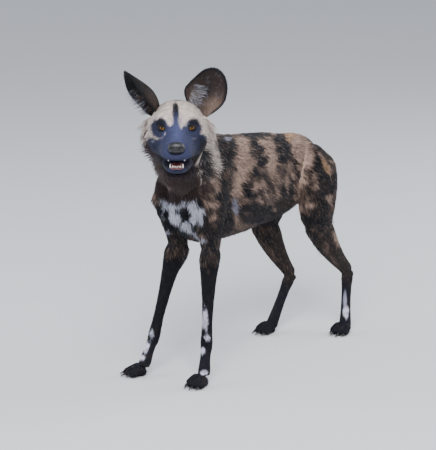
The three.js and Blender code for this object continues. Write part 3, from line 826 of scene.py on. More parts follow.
LEG_MARKS = [
    (203, 252, 1.6, 3, 0, "tan"), (209, 246, 1.6, 2.5, 0, "brindle"), (214, 262, 1.2, 3, 0, "brindle"),
    (204, 262, 1.0, 3, 0, "tan"), (208, 271, 1.2, 3, 0, "brindle"), (205, 320, 3.3, 11, 0, "white"),
    (203, 352, 2.6, 3.5, 0, "white"), (204, 374, 4, 2.4, 0, "white"), (207, 338, 2.4, 3, 0, "white"),
    (209, 316, 1.4, 5, 0, "black"), (204, 330, 1.2, 3, 0, "black"), (175, 246, 4, 2.4, 0, "brindle"),
    (186, 252, 2, 6, 10, "umber"), (152, 334, 1.8, 3.5, 0, "white"), (147, 348, 2.6, 7, 18, "white"),
    (141, 359, 5, 2.4, 0, "white"), (149, 343, 1.2, 2, 0, "black"), (345, 302, 1.8, 9, 0, "grey"),
    (346, 313, 3, 6, 0, "white"), (275, 302, 4, 13, 18, "grey"), (275, 303, 2.2, 9, 18, "white"),
    (315, 240, 5, 5, 0, "brindle"), (335, 238, 2, 9, -20, "tan"), (325, 247, 3, 7, -10, "brindle"),
    (263, 235, 3, 8, 0, "umber"), (272, 255, 2, 9, -20, "brindle"), (265, 246, 2, 7, -15, "brindle"),
    (334, 262, 2, 6, -30, "brindle"), (285, 275, 1.5, 6, 10, "umber"),
]
FACE_MARKS = [
    (160, 128.5, 8.5, 9.5, 10, "slate"), (192.5, 129.5, 8.5, 9.5, -10, "slate"),
    (176, 152, 30, 16, 0, "slate"), (175.5, 140, 10, 10, 0, "slate"),
    (175.6, 112, 3.3, 9, 0, "black"), (175.8, 122, 2.1, 9, 0, "black"),
    (170.6, 121.5, 2.2, 5, 0, "cream"), (181.2, 122.5, 2.2, 6, 0, "cream"),
    (153, 143, 6, 5, 0, "slate"), (200, 140, 6, 6, 0, "slate"),
    (149, 131, 2.4, 5, 0, "cream"), (204, 127, 2.4, 6, 0, "cream"),
    (165, 134, 0.6, 2.0, 20, "grey"), (154, 141.2, 1.6, 1.2, 0, "grey"),
    (203, 149, 4.5, 10, 0, "black"), (150.5, 150, 4, 10, 0, "black"),
    (198, 163, 6, 8, 0, "black"), (155, 163, 5, 8, 0, "black"),
]
RUFF_MARKS = [
    (180, 183, 27, 15, 0, "russet"), (150, 166, 5, 10, 0, "umber"), (198, 160, 4, 15, 0, "black"),
    (205, 146, 3.6, 10, -4, "cream"), (206, 160, 3.8, 10, -4, "cream"), (208, 171, 2.8, 6, 0, "cream"),
    (144, 140, 2.4, 6, 0, "cream"),
]

# %% [markdown]
# Each body part has a ground colour under its blotches. Where the camera saw nothing, such as
# the far flank, the insides of the legs and the nape, soft noise scatters patches of the same
# tones, so the dog is as mottled behind as it is in front.

# %% Paint
skin_tree = BVHTree.FromPolygons(
    [v.co for v in skin_mesh.vertices], [tuple(p.vertices) for p in skin_mesh.polygons]
)
turn_rows = np.array(camera_turn)
eye_row = np.array(camera_spot)
back_row = np.array(camera_back)
TRUNK_BONES = ("rear trunk", "fore trunk", "breast", "arm left", "arm right", "thigh left", "thigh right")
GROUND = {
    "rear trunk": "brindle", "fore trunk": "brindle", "breast": "black", "neck": "russet",
    "tail root": "tan", "brush": "black", "skull": "cream", "muzzle": "slate",
    "arm": "black", "forearm": "black", "pastern": "black", "paw": "black",
    "thigh": "umber", "shank": "umber", "cannon": "black", "toes": "black",
}


def bone_tone(name):
    return TONE_ROWS[GROUND.get(name, GROUND.get(name.split()[0]))]


def laid(marks, aside=0, down=0):
    """Casts each blotch onto the skin, moved by so many pixels because the hair carries it on."""
    placed = []
    for mark_x, mark_y, rx, ry, tilt, tone in marks:
        px, py = mark_x + aside, mark_y + down
        spot, normal, _, _ = skin_tree.ray_cast(camera_spot, pixel_ray(px, py))
        if spot is None:
            print("a blotch misses the skin:", px, py)
            continue
        stretch = min(1 / max(abs(normal.dot(camera_back)), 0.1), 3.0)
        placed.append((px, py, rx, ry, math.radians(tilt), tone, np.array(spot), stretch))
    return placed


def seen_at(spots):
    local = (spots - eye_row) @ turn_rows
    px = FRAME_WIDE / 2 - FOCAL_PIXELS * local[:, 0] / local[:, 2]
    py = FRAME_HIGH / 2 + FOCAL_PIXELS * local[:, 1] / local[:, 2]
    return px, py


def painted(colours, spots, marks, share, fray):
    px, py = seen_at(spots)
    for mx, my, rx, ry, tilt, tone, centre, stretch in marks:
        dx, dy = px - mx, py - my
        near = np.nonzero((np.abs(dx) < 2.2 * max(rx, ry)) & (np.abs(dy) < 2.2 * max(rx, ry)))[0]
        if not len(near):
            continue
        turn, lift = dx[near], dy[near]
        across = (turn * math.cos(tilt) + lift * math.sin(tilt)) / rx
        along = (-turn * math.sin(tilt) + lift * math.cos(tilt)) / ry
        reach = max(rx, ry) / PIXELS_PER_MM * MM * stretch * 1.25
        deep = np.linalg.norm(spots[near] - centre, axis=1) / reach
        far = np.maximum(np.hypot(across, along), deep) + fray[near] * min(1, 3.5 / min(rx, ry))
        soft = min(0.35, 0.5 / min(rx, ry) + 0.06)
        cover = (1 - step(far, 1 - soft, 1 + soft)) * share[near]
        colours[near] += cover[:, None] * (TONE_ROWS[tone] - colours[near])
    return colours


LAID = {
    "trunk": laid(TRUNK_MARKS, -2.5, -1.5), "breast": laid(BREAST_MARKS, 0, -4),
    "legs": laid(LEG_MARKS, 0, -1.5), "face": laid(FACE_MARKS),
    "ruff": laid(RUFF_MARKS),
}


def mix(colours, tone, share):
    return colours + share[:, None] * (TONE_ROWS[tone] - colours)


def coat_paint(spots, normals, weights, head_part):
    """The colour of the coat at each place, from ground tones, blotches and hidden patches."""
    place = (spots - home) / MM
    names = [name for name, *_ in BONES]
    colours = weights @ np.array([bone_tone(name) for name in names])
    part = {name: weights[:, i] for i, name in enumerate(names)}
    trunkish = sum(part[name] for name in TRUNK_BONES)
    legs = 1 - trunkish - head_part - part["neck"] - part["tail root"] - part["brush"]
    facing = normals @ back_row
    along = place @ (0, 0.82, -0.57)
    combed = np.stack([place[:, 0], along * 0.32, place @ (0, 0.57, 0.82)], 1)
    fray = 0.30 * cloud(combed, 13, 1) + 0.22 * cloud(combed, 5, 2)

    streaks = cloud(combed, 11, 3) + 0.5 * cloud(combed, 4, 4)
    inner_side = np.where((place[:, 0] < 0) & (facing > 0.12), 1 - step(place[:, 2], 440, 500), 0)
    streaked = step(place[:, 2], 395, 460) * (1 - inner_side)
    colours = mix(colours, "tan", trunkish * step(streaks, 0.05, 0.5) * 0.8 * streaked)
    colours = mix(colours, "brindle", trunkish * step(streaks, 0.1, 0.6) * 0.5 * (1 - streaked))
    colours = mix(colours, "black", trunkish * step(-streaks, 0.05, 0.5) * 0.8)

    seen_right = (facing > 0.12) & ((place[:, 1] < -170) | (place[:, 2] < 470))
    far_side = (place[:, 0] < 0) & (trunkish > 0.4) & ~seen_right
    mirrored = spots.copy()
    warp = step(-place[:, 0], 0, 70)[far_side, None] * 34
    shift = np.stack([cloud(place[far_side], 95, 5 + k) for k in range(3)], 1) * warp
    turned = place[far_side] * (-1, 1, 1) + shift * (0.2, 1, 0.7) + warp * (0, 0.5, 0.15)
    mirrored[far_side] = turned * MM + home
    colours = painted(colours, mirrored, LAID["trunk"], np.clip(trunkish * 1.6, 0, 1), fray)
    near = np.where(place[:, 1] < -60, 1.0, 0.0) * np.where(far_side, 0, 1)
    colours = painted(colours, spots, LAID["breast"], near * (1 - head_part), fray)
    colours = painted(colours, spots, LAID["legs"], np.clip(legs * 2, 0, 1), fray * 0.7)

    hidden = step(-facing, -0.05, 0.3)
    lump = cloud(place, 42, 9) + 0.35 * cloud(place, 13, 10)
    colours = mix(colours, "tan", hidden * np.clip(legs + part["neck"] * 0.5, 0, 1) * step(lump, 0.42, 0.6))
    low = 1 - step(place[:, 2], 200, 300)
    lump = cloud(place, 36, 11) + 0.3 * cloud(place, 11, 12)
    colours = mix(colours, "white", hidden * np.clip(legs, 0, 1) * low * step(lump, 0.4, 0.55))
    colours = mix(colours, "umber", legs * 0.5 * step(cloud(place, 9, 13), 0.1, 0.6))
    belly = trunkish * step(-normals[:, 2], 0.5, 0.9) * step(-place[:, 2], -520, -440)
    colours = mix(colours, "umber", belly * 0.6)
    nape = part["neck"] * step(cloud(place, 34, 15) + 0.3 * cloud(place, 9, 16), 0.1, 0.4)
    tip = part["brush"] * (1 - step(place[:, 2] + 10 * cloud(place, 12, 14), 372, 388))
    colours = mix(colours, "white", tip)

    face = to_head(spots)
    wide = np.abs(face[:, 0])
    collar = head_part + part["neck"]
    cheek_band = step(wide + 8 * fray, 62, 76) * step(face[:, 1] + 10 * fray, 40, 64)
    throat = step(-face[:, 2] + 10 * fray, 20, 44) * (1 - cheek_band)
    throat = np.maximum(throat, step(-face[:, 2] + 14 * fray, 118, 140))
    mane = step(face[:, 1] + 14 * fray, 96, 118)
    head = colours.copy()
    head = mix(head, "cream", collar)
    crown = step(face[:, 1] + 6 * fray, 40, 74)
    head = mix(head, "tan", head_part * crown * 0.5)
    stripe = (1 - step(wide + 12 * fray, 6, 11)) * step(face[:, 2], 40, 52) * step(face[:, 1], 8, 22)
    head = mix(head, "black", head_part * stripe)
    ear_back = step(face[:, 1], 56, 70) * (1 - step(wide, 50, 66)) * step(wide, 22, 40)
    head = mix(head, "umber", head_part * ear_back * 0.7)
    head = mix(head, "russet", collar * throat)
    head = mix(head, "brindle", collar * mane * 0.6)
    head = mix(head, "black", collar * mane * step(face[:, 2] + 20 * fray, 0, 30))
    muzzle = step(-face[:, 1] + 5 * fray - 8 * step(face[:, 2], 0, 14), 34, 46)
    jaw = step(-face[:, 2] + 8 * fray + 0.35 * np.clip(face[:, 1], -60, 80), 52, 64)
    head = mix(head, "slate", head_part * np.maximum(muzzle, jaw * (1 - step(face[:, 1], 0, 30))))
    head = painted(head, spots, LAID["ruff"], collar * step(facing, -0.3, 0.0), fray * 0.6)
    head = painted(head, spots, LAID["face"], head_part * step(facing, -0.05, 0.1), fray * 0.4)
    # Painted shade: the sides of the jaw below the mouth and the underside of the chin are darkened towards
    # black.
    under = step(-face[:, 2] + 4 * fray, 76, 88) * step(wide + 6 * fray, 17, 30)
    chin = step(-face[:, 2] + 4 * fray, 94, 106)
    head = mix(head, "black", head_part * np.maximum(under * 0.85, chin * 0.5))
    # Painted highlight: the blue sheen of light along the top of the muzzle, where the bridge faces up.
    bridge = np.exp(-((wide / 17) ** 2)) * step(-face[:, 1], 28, 50) * step(face[:, 2], -44, -26)
    head = mix(head, "bridge_sheen", head_part * bridge * 0.8)
    lips = muzzle * (1 - step(np.abs(face[:, 2] + 84) + 5 * fray, 9, 16))
    head = mix(head, "black", head_part * lips * 0.7)
    for side in (1, -1):
        near_eye = np.linalg.norm(face - np.array(EYE_AT) * (side, 1, 1), axis=1)
        over_eye = np.linalg.norm(face - np.array(EYE_AT) * (side, 1, 1) - (0, 0, 5), axis=1)
        head = mix(head, "slate", head_part * (1 - step(near_eye + 6 * fray, 18, 24)))
        head = mix(head, "black", head_part * (1 - step(over_eye + 6 * fray, 15, 22)) * 0.85)
    head = mix(head, "tan", nape * hidden * 0.8)
    colours += np.clip(collar * 1.3, 0, 1)[:, None] * (head - colours)

    dapple = 1 + 0.16 * cloud(place, 4, 20) + 0.12 * cloud(place, 2, 21)
    return np.clip(colours * dapple[:, None], 0.004, 1)


def ear_paint(spots, normals, ear):
    """Dark rim and back, brown inside, with pale hair low on the inner edge."""
    ear_at = ear_frame(ear)
    local = local_to(ear_at, spots)
    inward = -turned_to(ear_at, normals)[:, 1]
    z = local[:, 2]
    tall = EAR_LENGTH / 2
    up = (z - EAR_LENGTH * 0.43) / tall
    wide = EAR_HALF_WIDTH * (1 - 0.42 * np.clip(-up, 0, 1) ** 1.4)
    wide = wide * (1 + ear["flare"] * (local[:, 0] < 0) * np.exp(-(((up + 0.25) / 0.5) ** 2)))
    out = np.hypot(local[:, 0] / wide, up)
    inside = step(inward, -0.1, 0.25)
    speck = cloud(local, 5, 31)
    colours = np.tile(TONE_ROWS["umber"], (len(spots), 1))
    colours = mix(colours, "tan", 0.5 * step(speck + cloud(local, 22, 32), 0.3, 1.0))
    colours = mix(colours, "black", step(z, 70, 100) * 0.8)
    pale_side = local[:, 0] * ear["side"] * ear["pale"]
    inner = np.tile(TONE_ROWS["brindle"] * 0.5, (len(spots), 1))
    inner = mix(inner, "umber", step(z + 12 * speck, 66, 92) * 0.85)
    inner = mix(inner, "tan", step(-pale_side, 4, 30) * (1 - step(z, 40, 72)) * 0.26)
    hollow = np.exp(-((local[:, 0] - 4 * ear["side"]) / 16) ** 2 - ((z - 66) / 22) ** 2)
    inner = mix(inner, "black", hollow * 0.85)
    inner = mix(inner, "grey", 0.12 * step(speck, 0.1, 0.8))
    tuft = step(pale_side, 2, 12) * (1 - step(pale_side, 30, 42)) * (1 - step(z, 52, 74)) * step(z, 14, 26)
    inner = mix(inner, "cream", tuft * 0.22)
    colours += inside[:, None] * (inner - colours)
    rim = step(out, 0.86, 0.95) * step(z, 8, 20)
    colours = mix(colours, "black", rim * 0.9)
    return np.clip(colours * (1 + 0.2 * speck)[:, None], 0.004, 1)


def all_fields(spots, normals, ear_of):
    """Lie, sizes and colour at every corner, whether of the body or of an ear."""
    lie, sizes, weights, head_part = coat_fields(spots)
    face = to_head(spots)
    muzzle = step(-face[:, 1], 30, 75) * head_part
    sizes[:, 1] -= 5.0 * muzzle
    sizes[:, 2] -= 0.35 * muzzle
    sizes[:, 3] -= 4 * muzzle
    colours = coat_paint(spots, normals, weights, head_part)
    bone = weights.argmax(1)
    for number, ear in enumerate(EARS.values(), 1):
        rows = np.nonzero(ear_of == number)[0]
        if not len(rows):
            continue
        colours[rows] = ear_paint(spots[rows], normals[rows], ear)
        up = np.array(ear_frame(ear).to_3x3() @ Vector((0, 0, 1)))
        lie[rows] = up
        sizes[rows] = (1, 6.5, 1.3, 11, 46)
        bone[rows] = len(BONES) + number - 1
    return lie, sizes, colours, bone


spots, normals = corners_of(skin_mesh), normals_of(skin_mesh)
lie, sizes, colours, bone = all_fields(spots, normals, ear_of)
paint = skin_mesh.attributes.new("coat_paint", "FLOAT_COLOR", "POINT")
paint.data.foreach_set("color", np.column_stack([colours, np.ones(len(colours))]).ravel())
print("painted", len(colours), "corners with", sum(len(m) for m in LAID.values()), "blotches")

# %% [markdown]
# ## Finishes
# The coat, the skin and the leather share a few effects, so each is a node group: one breaks a
# colour up along the hair, and one turns fine noise into a bump. A group gives out only a
# colour or a normal, and the shader stays in each material.

# %% Shared effects
def effect(name, inputs, outputs):
    """A node group with named inputs, each with its value, and named outputs."""
    group = bpy.data.node_groups.new(name, "ShaderNodeTree")
    for socket, kind, value in inputs:
        made = group.interface.new_socket(socket, in_out="INPUT", socket_type=f"NodeSocket{kind}")
        made.default_value = value
    for socket, kind in outputs:
        group.interface.new_socket(socket, in_out="OUTPUT", socket_type=f"NodeSocket{kind}")
    return group, group.nodes.new("NodeGroupInput"), group.nodes.new("NodeGroupOutput")


HAIR_EFFECT, given, result = effect(
    "broken_colour",
    [("Colour", "Color", (0.5, 0.5, 0.5, 1)), ("Scale", "Float", 700), ("Depth", "Float", 0.35)],
    [("Colour", "Color")],
)
where = add(HAIR_EFFECT, "TexCoord")
strand = add(HAIR_EFFECT, "TexNoise", Detail=3)
spread = add(HAIR_EFFECT, "MapRange", From_Min=0.3, From_Max=0.7)
less = add(HAIR_EFFECT, "Math", operation="SUBTRACT")
more = add(HAIR_EFFECT, "Math", operation="ADD")
for sum_node in (less, more):
    sum_node.inputs[0].default_value = 1
scaled = add(HAIR_EFFECT, "VectorMath", operation="SCALE")
wire(
    HAIR_EFFECT,
    (where, "Object", strand, "Vector"), (given, "Scale", strand, "Scale"),
    (strand, "Fac", spread, "Value"), (given, "Depth", less, 1), (given, "Depth", more, 1),
    (less, 0, spread, "To Min"), (more, 0, spread, "To Max"),
    (given, "Colour", scaled, "Vector"), (spread, "Result", scaled, "Scale"),
    (scaled, "Vector", result, "Colour"),
)

GRAIN_EFFECT, given, result = effect(
    "grain_bump",
    [("Scale", "Float", 900), ("Strength", "Float", 0.3), ("Depth", "Float", 0.0004)],
    [("Normal", "Vector")],
)
where = add(GRAIN_EFFECT, "TexCoord")
grain = add(GRAIN_EFFECT, "TexNoise", Detail=4)
bump = add(GRAIN_EFFECT, "Bump")
wire(
    GRAIN_EFFECT,
    (where, "Object", grain, "Vector"), (given, "Scale", grain, "Scale"),
    (grain, "Fac", bump, "Height"), (given, "Strength", bump, "Strength"),
    (given, "Depth", bump, "Distance"), (bump, "Normal", result, "Normal"),
)


def use(tree, group, **values):
    """A group in a material, with that material's own values."""
    node = add(tree, "Group", node_tree=group)
    for name, value in values.items():
        node.inputs[name].default_value = value
    return node


def painted_material(name, scale, depth, bump_depth, roughness, **sockets):
    """A finish that takes its colour from the pattern and breaks it up along the hair."""
    made, tree, shader = material_of(name, roughness, **sockets)
    pattern = add(tree, "Attribute", attribute_name="coat_paint")
    broken = use(tree, HAIR_EFFECT, Scale=scale, Depth=depth)
    grain = use(tree, GRAIN_EFFECT, Scale=scale, Depth=bump_depth)
    wire(
        tree,
        (pattern, "Color", broken, "Colour"), (broken, "Colour", shader, "Base Color"),
        (grain, "Normal", shader, "Normal"),
    )
    return made


skin_finish = painted_material("short_fur_skin", 900, 0.4, 0.0008, 0.75, Specular_IOR_Level=0.2)
hair_finish = painted_material(
    "fur_hair", 500, 0.3, 0.0002, 0.6, Specular_IOR_Level=0.22, Sheen_Weight=0.03, Sheen_Roughness=0.4
)
skin_mesh.materials.clear()
skin_mesh.materials.append(skin_finish)
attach(skin, "root")
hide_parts(*FLESH, "neck", "tail_brush", "ear_left", "ear_right")
print("skin stands for", len(FLESH) + 4, "solids")

# %% [markdown]
# ## The coat
# Each tuft is a thin closed blade of real mesh: a three-sided root, a raised ridge and one
# tip. It leaves the skin at the coat's lift, bends back down and follows the lie. All the
# tufts of one region are one mesh, filled straight from arrays, because there are hundreds
# of thousands of them. Each tuft's map patch sits where its root is on the region's own
# unrolled skin, so a bake keeps one colour for it.

# %% Scatter roots over the skin
def unit(rows):
    return rows / np.linalg.norm(rows, axis=1, keepdims=True).clip(1e-9)


def triangles_of(mesh):
    mesh.calc_loop_triangles()
    rows = np.empty(len(mesh.loop_triangles) * 3, int)
    mesh.loop_triangles.foreach_get("vertices", rows)
    return rows.reshape(-1, 3)


FLOOR_GAP = 0.0004
ROOT_SCATTER = 0.0016
STREAKY = ("rear", "fore", "arm", "thigh", "shank", "tail")  # bones whose coat has stray hairs
PALE_STRAYS, DARK_STRAYS = 0.11, 0.14
rng = np.random.default_rng(SEED)
corners = triangles_of(skin_mesh)
edge_one = spots[corners[:, 1]] - spots[corners[:, 0]]
edge_two = spots[corners[:, 2]] - spots[corners[:, 0]]
area = np.linalg.norm(np.cross(edge_one, edge_two), axis=1) / 2 * 1e4
wanted = area * sizes[corners].mean(1)[:, 4]
count = np.floor(wanted + rng.random(len(wanted))).astype(int)
owner = np.repeat(np.arange(len(corners)), count)
share = rng.dirichlet((1, 1, 1), len(owner))


def carried(values):
    return np.einsum("ij,ijk->ik", share, values[corners[owner]])


root_spots = carried(spots)
root_normals = unit(carried(normals))
root_lie = unit(carried(lie))
root_sizes = carried(sizes)
root_bone = bone[corners[owner, 0]]
root_ear = ear_of[corners[owner, 0]]
frayed = root_spots + rng.normal(0, ROOT_SCATTER, root_spots.shape)
_, _, root_colours, _ = all_fields(frayed, root_normals, root_ear)
stray = rng.random(len(owner))
on_body = np.isin(root_bone, [i for i, b in enumerate(BONES) if b[0].split()[0] in STREAKY])
pale_hair = on_body & (stray < PALE_STRAYS)
root_colours[pale_hair] += 0.42 * (TONE_ROWS["tan"] - root_colours[pale_hair])
root_colours[on_body & (stray > 1 - DARK_STRAYS)] *= 0.35
print("tufts:", len(owner))


# %% Build blades from arrays
ROOT_DEPTH = 0.0007
PATCH = 0.003  # side of a tuft's patch in the map


def blades(name, roots, normals, lies, sizes, colours, tiles, rows, sag, droop=0.0):
    """One mesh of many closed blades; sizes are depth, length, width, lift and closeness."""
    count = len(roots)
    flat = unit(lies - (lies * normals).sum(1, keepdims=True) * normals)
    side = np.cross(normals, flat)
    twist = np.radians(11 * cloud(roots / MM, 26, 40) + rng.normal(0, 7, count))[:, None]
    flat = flat * np.cos(twist) + side * np.sin(twist)
    side = np.cross(normals, flat)
    length = sizes[:, 1] * MM * rng.uniform(0.72, 1.22, count)
    width = sizes[:, 2] * MM * rng.uniform(0.75, 1.25, count)
    lift = np.radians(np.clip(sizes[:, 3] * rng.uniform(0.6, 1.4, count), 2, 60))
    bend = rng.normal(0, 0.10, count)
    tint = rng.uniform(0.68, 1.34, count)
    down = np.array((0, 0, -1.0))
    points, root_shade_tip_light = [], []

    def centre(along):
        rise = np.sin(lift) * along * (1 - sag * along)
        run = np.cos(lift) * along
        path = flat * run[:, None] + normals * rise[:, None] + side * (bend * along ** 2)[:, None]
        return roots - normals * ROOT_DEPTH + (path + down * droop * along ** 2) * length[:, None]

    for row in range(rows):
        along = row / rows
        broad = (width * (1 - along ** 1.6) / 2)[:, None] * (1 if row or rows == 1 else 0.7)
        ridge = centre(min(along + 0.5 / rows, 1)) + normals * broad * (0.7 if rows == 1 else 0.5)
        points += [centre(along) - side * broad, centre(along) + side * broad, ridge]
        # Painted light: a blade is darker at its root, where the coat around it shades it, and lighter
        # along its ridge and towards its tip, where light falls.
        root_shade_tip_light += [0.68 + 0.36 * along] * 2 + [0.78 + 0.36 * along]
    points.append(centre(1.0))
    root_shade_tip_light.append(1.16)
    each = 3 * rows + 1
    spots_out = np.stack(points, 1).reshape(-1, 3)
    spots_out[:, 2] = np.maximum(spots_out[:, 2], FLOOR_GAP)
    pattern = [(0, 2, 1)]
    for row in range(rows - 1):
        left, right, top = 3 * row, 3 * row + 1, 3 * row + 2
        for a, b in ((left, right), (right, top), (top, left)):
            pattern += [(a, b, b + 3), (a, b + 3, a + 3)]
    left, right, top, tip = each - 4, each - 3, each - 2, each - 1
    pattern += [(left, right, tip), (right, top, tip), (top, left, tip)]
    pattern = np.array(pattern)
    faces = (pattern[None] + (np.arange(count) * each)[:, None, None]).reshape(-1)
    mesh = bpy.data.meshes.new(name)
    mesh.vertices.add(len(spots_out))
    mesh.vertices.foreach_set("co", spots_out.ravel())
    mesh.loops.add(len(faces))
    mesh.loops.foreach_set("vertex_index", faces)
    mesh.polygons.add(len(faces) // 3)
    mesh.polygons.foreach_set("loop_start", np.arange(0, len(faces), 3))
    mesh.polygons.foreach_set("use_smooth", np.ones(len(faces) // 3, bool))
    mesh.update()
    # Each tuft's colour times its painted root shade and ridge and tip light, and times its own random
    # tint.
    shade = np.array(root_shade_tip_light)[None, :, None] * tint[:, None, None]
    tones = np.clip(colours[:, None, :] * shade, 0.003, 1)
    tones = np.concatenate([tones, np.ones((count, each, 1))], 2)
    layer = mesh.attributes.new("coat_paint", "FLOAT_COLOR", "POINT")
    layer.data.foreach_set("color", tones.ravel())
    patch = np.stack([np.resize([0, PATCH, PATCH / 2], each), np.linspace(0, PATCH, each)], 1)
    map_rows = tiles[:, None, :] + patch[None]
    mesh.uv_layers.new(name="OFBake")
    mesh.uv_layers["OFBake"].data.foreach_set("uv", map_rows.reshape(-1, 2)[faces].ravel())
    mesh.materials.append(hair_finish)
    piece = linked(name, mesh)
    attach(piece, "root")
    print(name, count, "tufts,", len(mesh.polygons), "faces")


# %% Unroll each region for the tufts' map
TILES_ACROSS = 5


def unrolled(place, bone):
    """A place in the map: one tile for each bone, by the angle round it and the way along it."""
    out = np.zeros((len(place), 2))
    for number in np.unique(bone):
        rows = bone == number
        if number < len(BONES):
            _, start, end, *_ = BONES[number]
            start, end = np.array(start, float), np.array(end, float)
        else:
            frame_of_ear = ear_frame(list(EARS.values())[number - len(BONES)])
            start = (np.array(frame_of_ear.translation) - home) / MM
            end = start + np.array(frame_of_ear.to_3x3() @ Vector((0, 0, EAR_LENGTH)))
        axis = (end - start) / np.linalg.norm(end - start)
        first = np.cross(axis, (0.31, 0.9, 0.3))
        first /= np.linalg.norm(first)
        second = np.cross(axis, first)
        offset = place[rows] - start
        angle = np.arctan2(offset @ second, offset @ first) / (2 * math.pi) + 0.5
        along = np.clip((offset @ axis) / np.linalg.norm(end - start) * 0.7 + 0.15, 0, 1)
        tile = np.array((number % TILES_ACROSS, number // TILES_ACROSS)) / TILES_ACROSS
        out[rows] = tile + np.stack([angle, along], 1) * (1 / TILES_ACROSS - 2 * PATCH) + 0.001
    return out


root_tiles = unrolled((root_spots - home) / MM, root_bone)
bone_names = [name for name, *_ in BONES] + ["ear left", "ear right"]
number_of = {name: number for number, name in enumerate(bone_names)}
print("map tiles used:", len(np.unique(root_bone)))

# %% [markdown]
# The short coat comes in regions, so that no mesh grows too large and each can be thinned or
# changed alone. The muzzle and the feet have the smallest tufts, and bare places have none:
# the nose, the lids, the inside of the mouth and the soles.

# %% Short coat
BARE_NOSE, BARE_EYE, BARE_SOLE = (23, 16, 18), 15.5, 0.006
TUFT_SAG, TUFT_DROOP = 0.45, 0.05
root_face = to_head(root_spots)
bare = (((root_face - NOSE_AT) / BARE_NOSE) ** 2).sum(1) < 1
for side in (1, -1):
    eye_at = np.array(EYE_AT) * (side, 1, 1)
    bare |= np.linalg.norm((root_face - eye_at) * (1, 0.8, 1.15), axis=1) < BARE_EYE
in_mouth = (root_face[:, 2] < -74) & (root_face[:, 2] > -93) & (np.abs(root_face[:, 0]) < 38)
bare |= in_mouth & (root_face[:, 1] < -12) & (np.abs((root_normals @ HEAD_ROWS)[:, 2]) > 0.6)
bare |= root_spots[:, 2] < BARE_SOLE

REGIONS = {
    "coat_flank_left": ("short_coat", ("rear trunk", "fore trunk", "breast"), 1),
    "coat_flank_right": ("short_coat", ("rear trunk", "fore trunk", "breast"), -1),
    "coat_shoulders": ("leg_coat", ("arm left", "arm right"), 0),
    "coat_thighs": ("leg_coat", ("thigh left", "thigh right"), 0),
    "coat_forelegs": ("leg_coat", ("forearm", "pastern", "paw"), 0),
    "coat_hind_legs": ("leg_coat", ("shank", "cannon", "toes"), 0),
    "coat_head": ("short_coat", ("skull", "muzzle"), 0),
    "coat_ears": ("short_coat", ("ear",), 0),
    "coat_neck": ("long_coat", ("neck",), 0),
    "coat_tail": ("long_coat", ("tail root", "brush"), 0),
}
for name, (slot, parts, side) in REGIONS.items():
    members = [number_of[b] for b in bone_names if b in parts or b.split()[0] in parts]
    rows = np.isin(root_bone, members) & ~bare
    if side:
        rows &= (root_spots[:, 0] - HOME.x) * side > 0
    blades(
        name, root_spots[rows], root_normals[rows], root_lie[rows], root_sizes[rows],
        root_colours[rows], root_tiles[rows], 1, TUFT_SAG, TUFT_DROOP,
    )

# %% [markdown]
# The ruff is the one long coat on this dog: loose locks behind the cheeks, round the throat
# and down to the breast. A lock has several sections, so that it can curve, hang and end in
# a fine tip. They grow from some of the same roots as the short coat, so their colours agree.

# %% Ruff
def chosen(mask, share):
    return np.nonzero(mask & (rng.random(len(mask)) < share))[0]


def locks(name, rows, length, width, lift, sections, sag, droop, lies):
    sizes_out = np.zeros((len(rows), 5))
    sizes_out[:, 1], sizes_out[:, 2], sizes_out[:, 3] = length, width, lift
    blades(
        name, root_spots[rows], root_normals[rows], lies, sizes_out,
        root_colours[rows], root_tiles[rows], sections, sag, droop,
    )


def ruff_lie(rows):
    """Outwards and back behind the cheeks, straight down on the throat."""
    aside = np.clip(root_face[rows, 0] / 62, -1, 1)
    out = np.stack([0.85 * aside, 0.55 + 0 * aside, -0.25 - 0.75 * (1 - np.abs(aside))], 1)
    return out @ HEAD_ROWS.T


neck_rows = np.isin(root_bone, [number_of["neck"], number_of["skull"]]) & ~bare
behind = (root_face[:, 1] > 22) & (root_face[:, 1] < 190) & (root_face[:, 2] < 28)
ruff_rows = chosen(neck_rows & behind & (root_face[:, 2] > -150), 0.30)
ruff_length = 34 + 26 * np.clip(np.abs(root_face[ruff_rows, 0]) / 62, 0, 1) ** 2
locks("ruff_upper", ruff_rows, ruff_length, 2.7, 21, 3, 0.35, 0.2, ruff_lie(ruff_rows))
throat = (root_face[:, 2] < -60) & (root_face[:, 1] > 10)
upper_breast = (root_bone == number_of["breast"]) & (root_spots[:, 2] > 0.57)
throat_rows = chosen(((neck_rows & throat) | upper_breast) & ~bare, 0.2)
hang = np.tile((0.05, -0.1, -1.0), (len(throat_rows), 1))
locks("ruff_throat", throat_rows, 36, 2.9, 11, 3, 0.45, 0.25, hang)
nape_rows = chosen(neck_rows & (root_face[:, 1] > 60) & (root_face[:, 2] > 0), 0.16)
locks("mane", nape_rows, 34, 3.0, 14, 2, 0.5, 0.1, root_lie[nape_rows])
plume_rows = chosen(root_bone == number_of["brush"], 0.8)
locks("tail_plume", plume_rows, 62, 3.2, 21, 3, 0.5, 0.2, root_lie[plume_rows])

# %% [markdown]
# Long pale hairs cross the lower half of each ear from its inner edge. They are finer than
# anything else on the dog and lie almost straight across the bowl.

# %% Hair in the ears
EAR_HAIR = (0.0, 22.0, 1.1, 14.0, 0.0)  # a coat, as above, with no depth and its own closeness

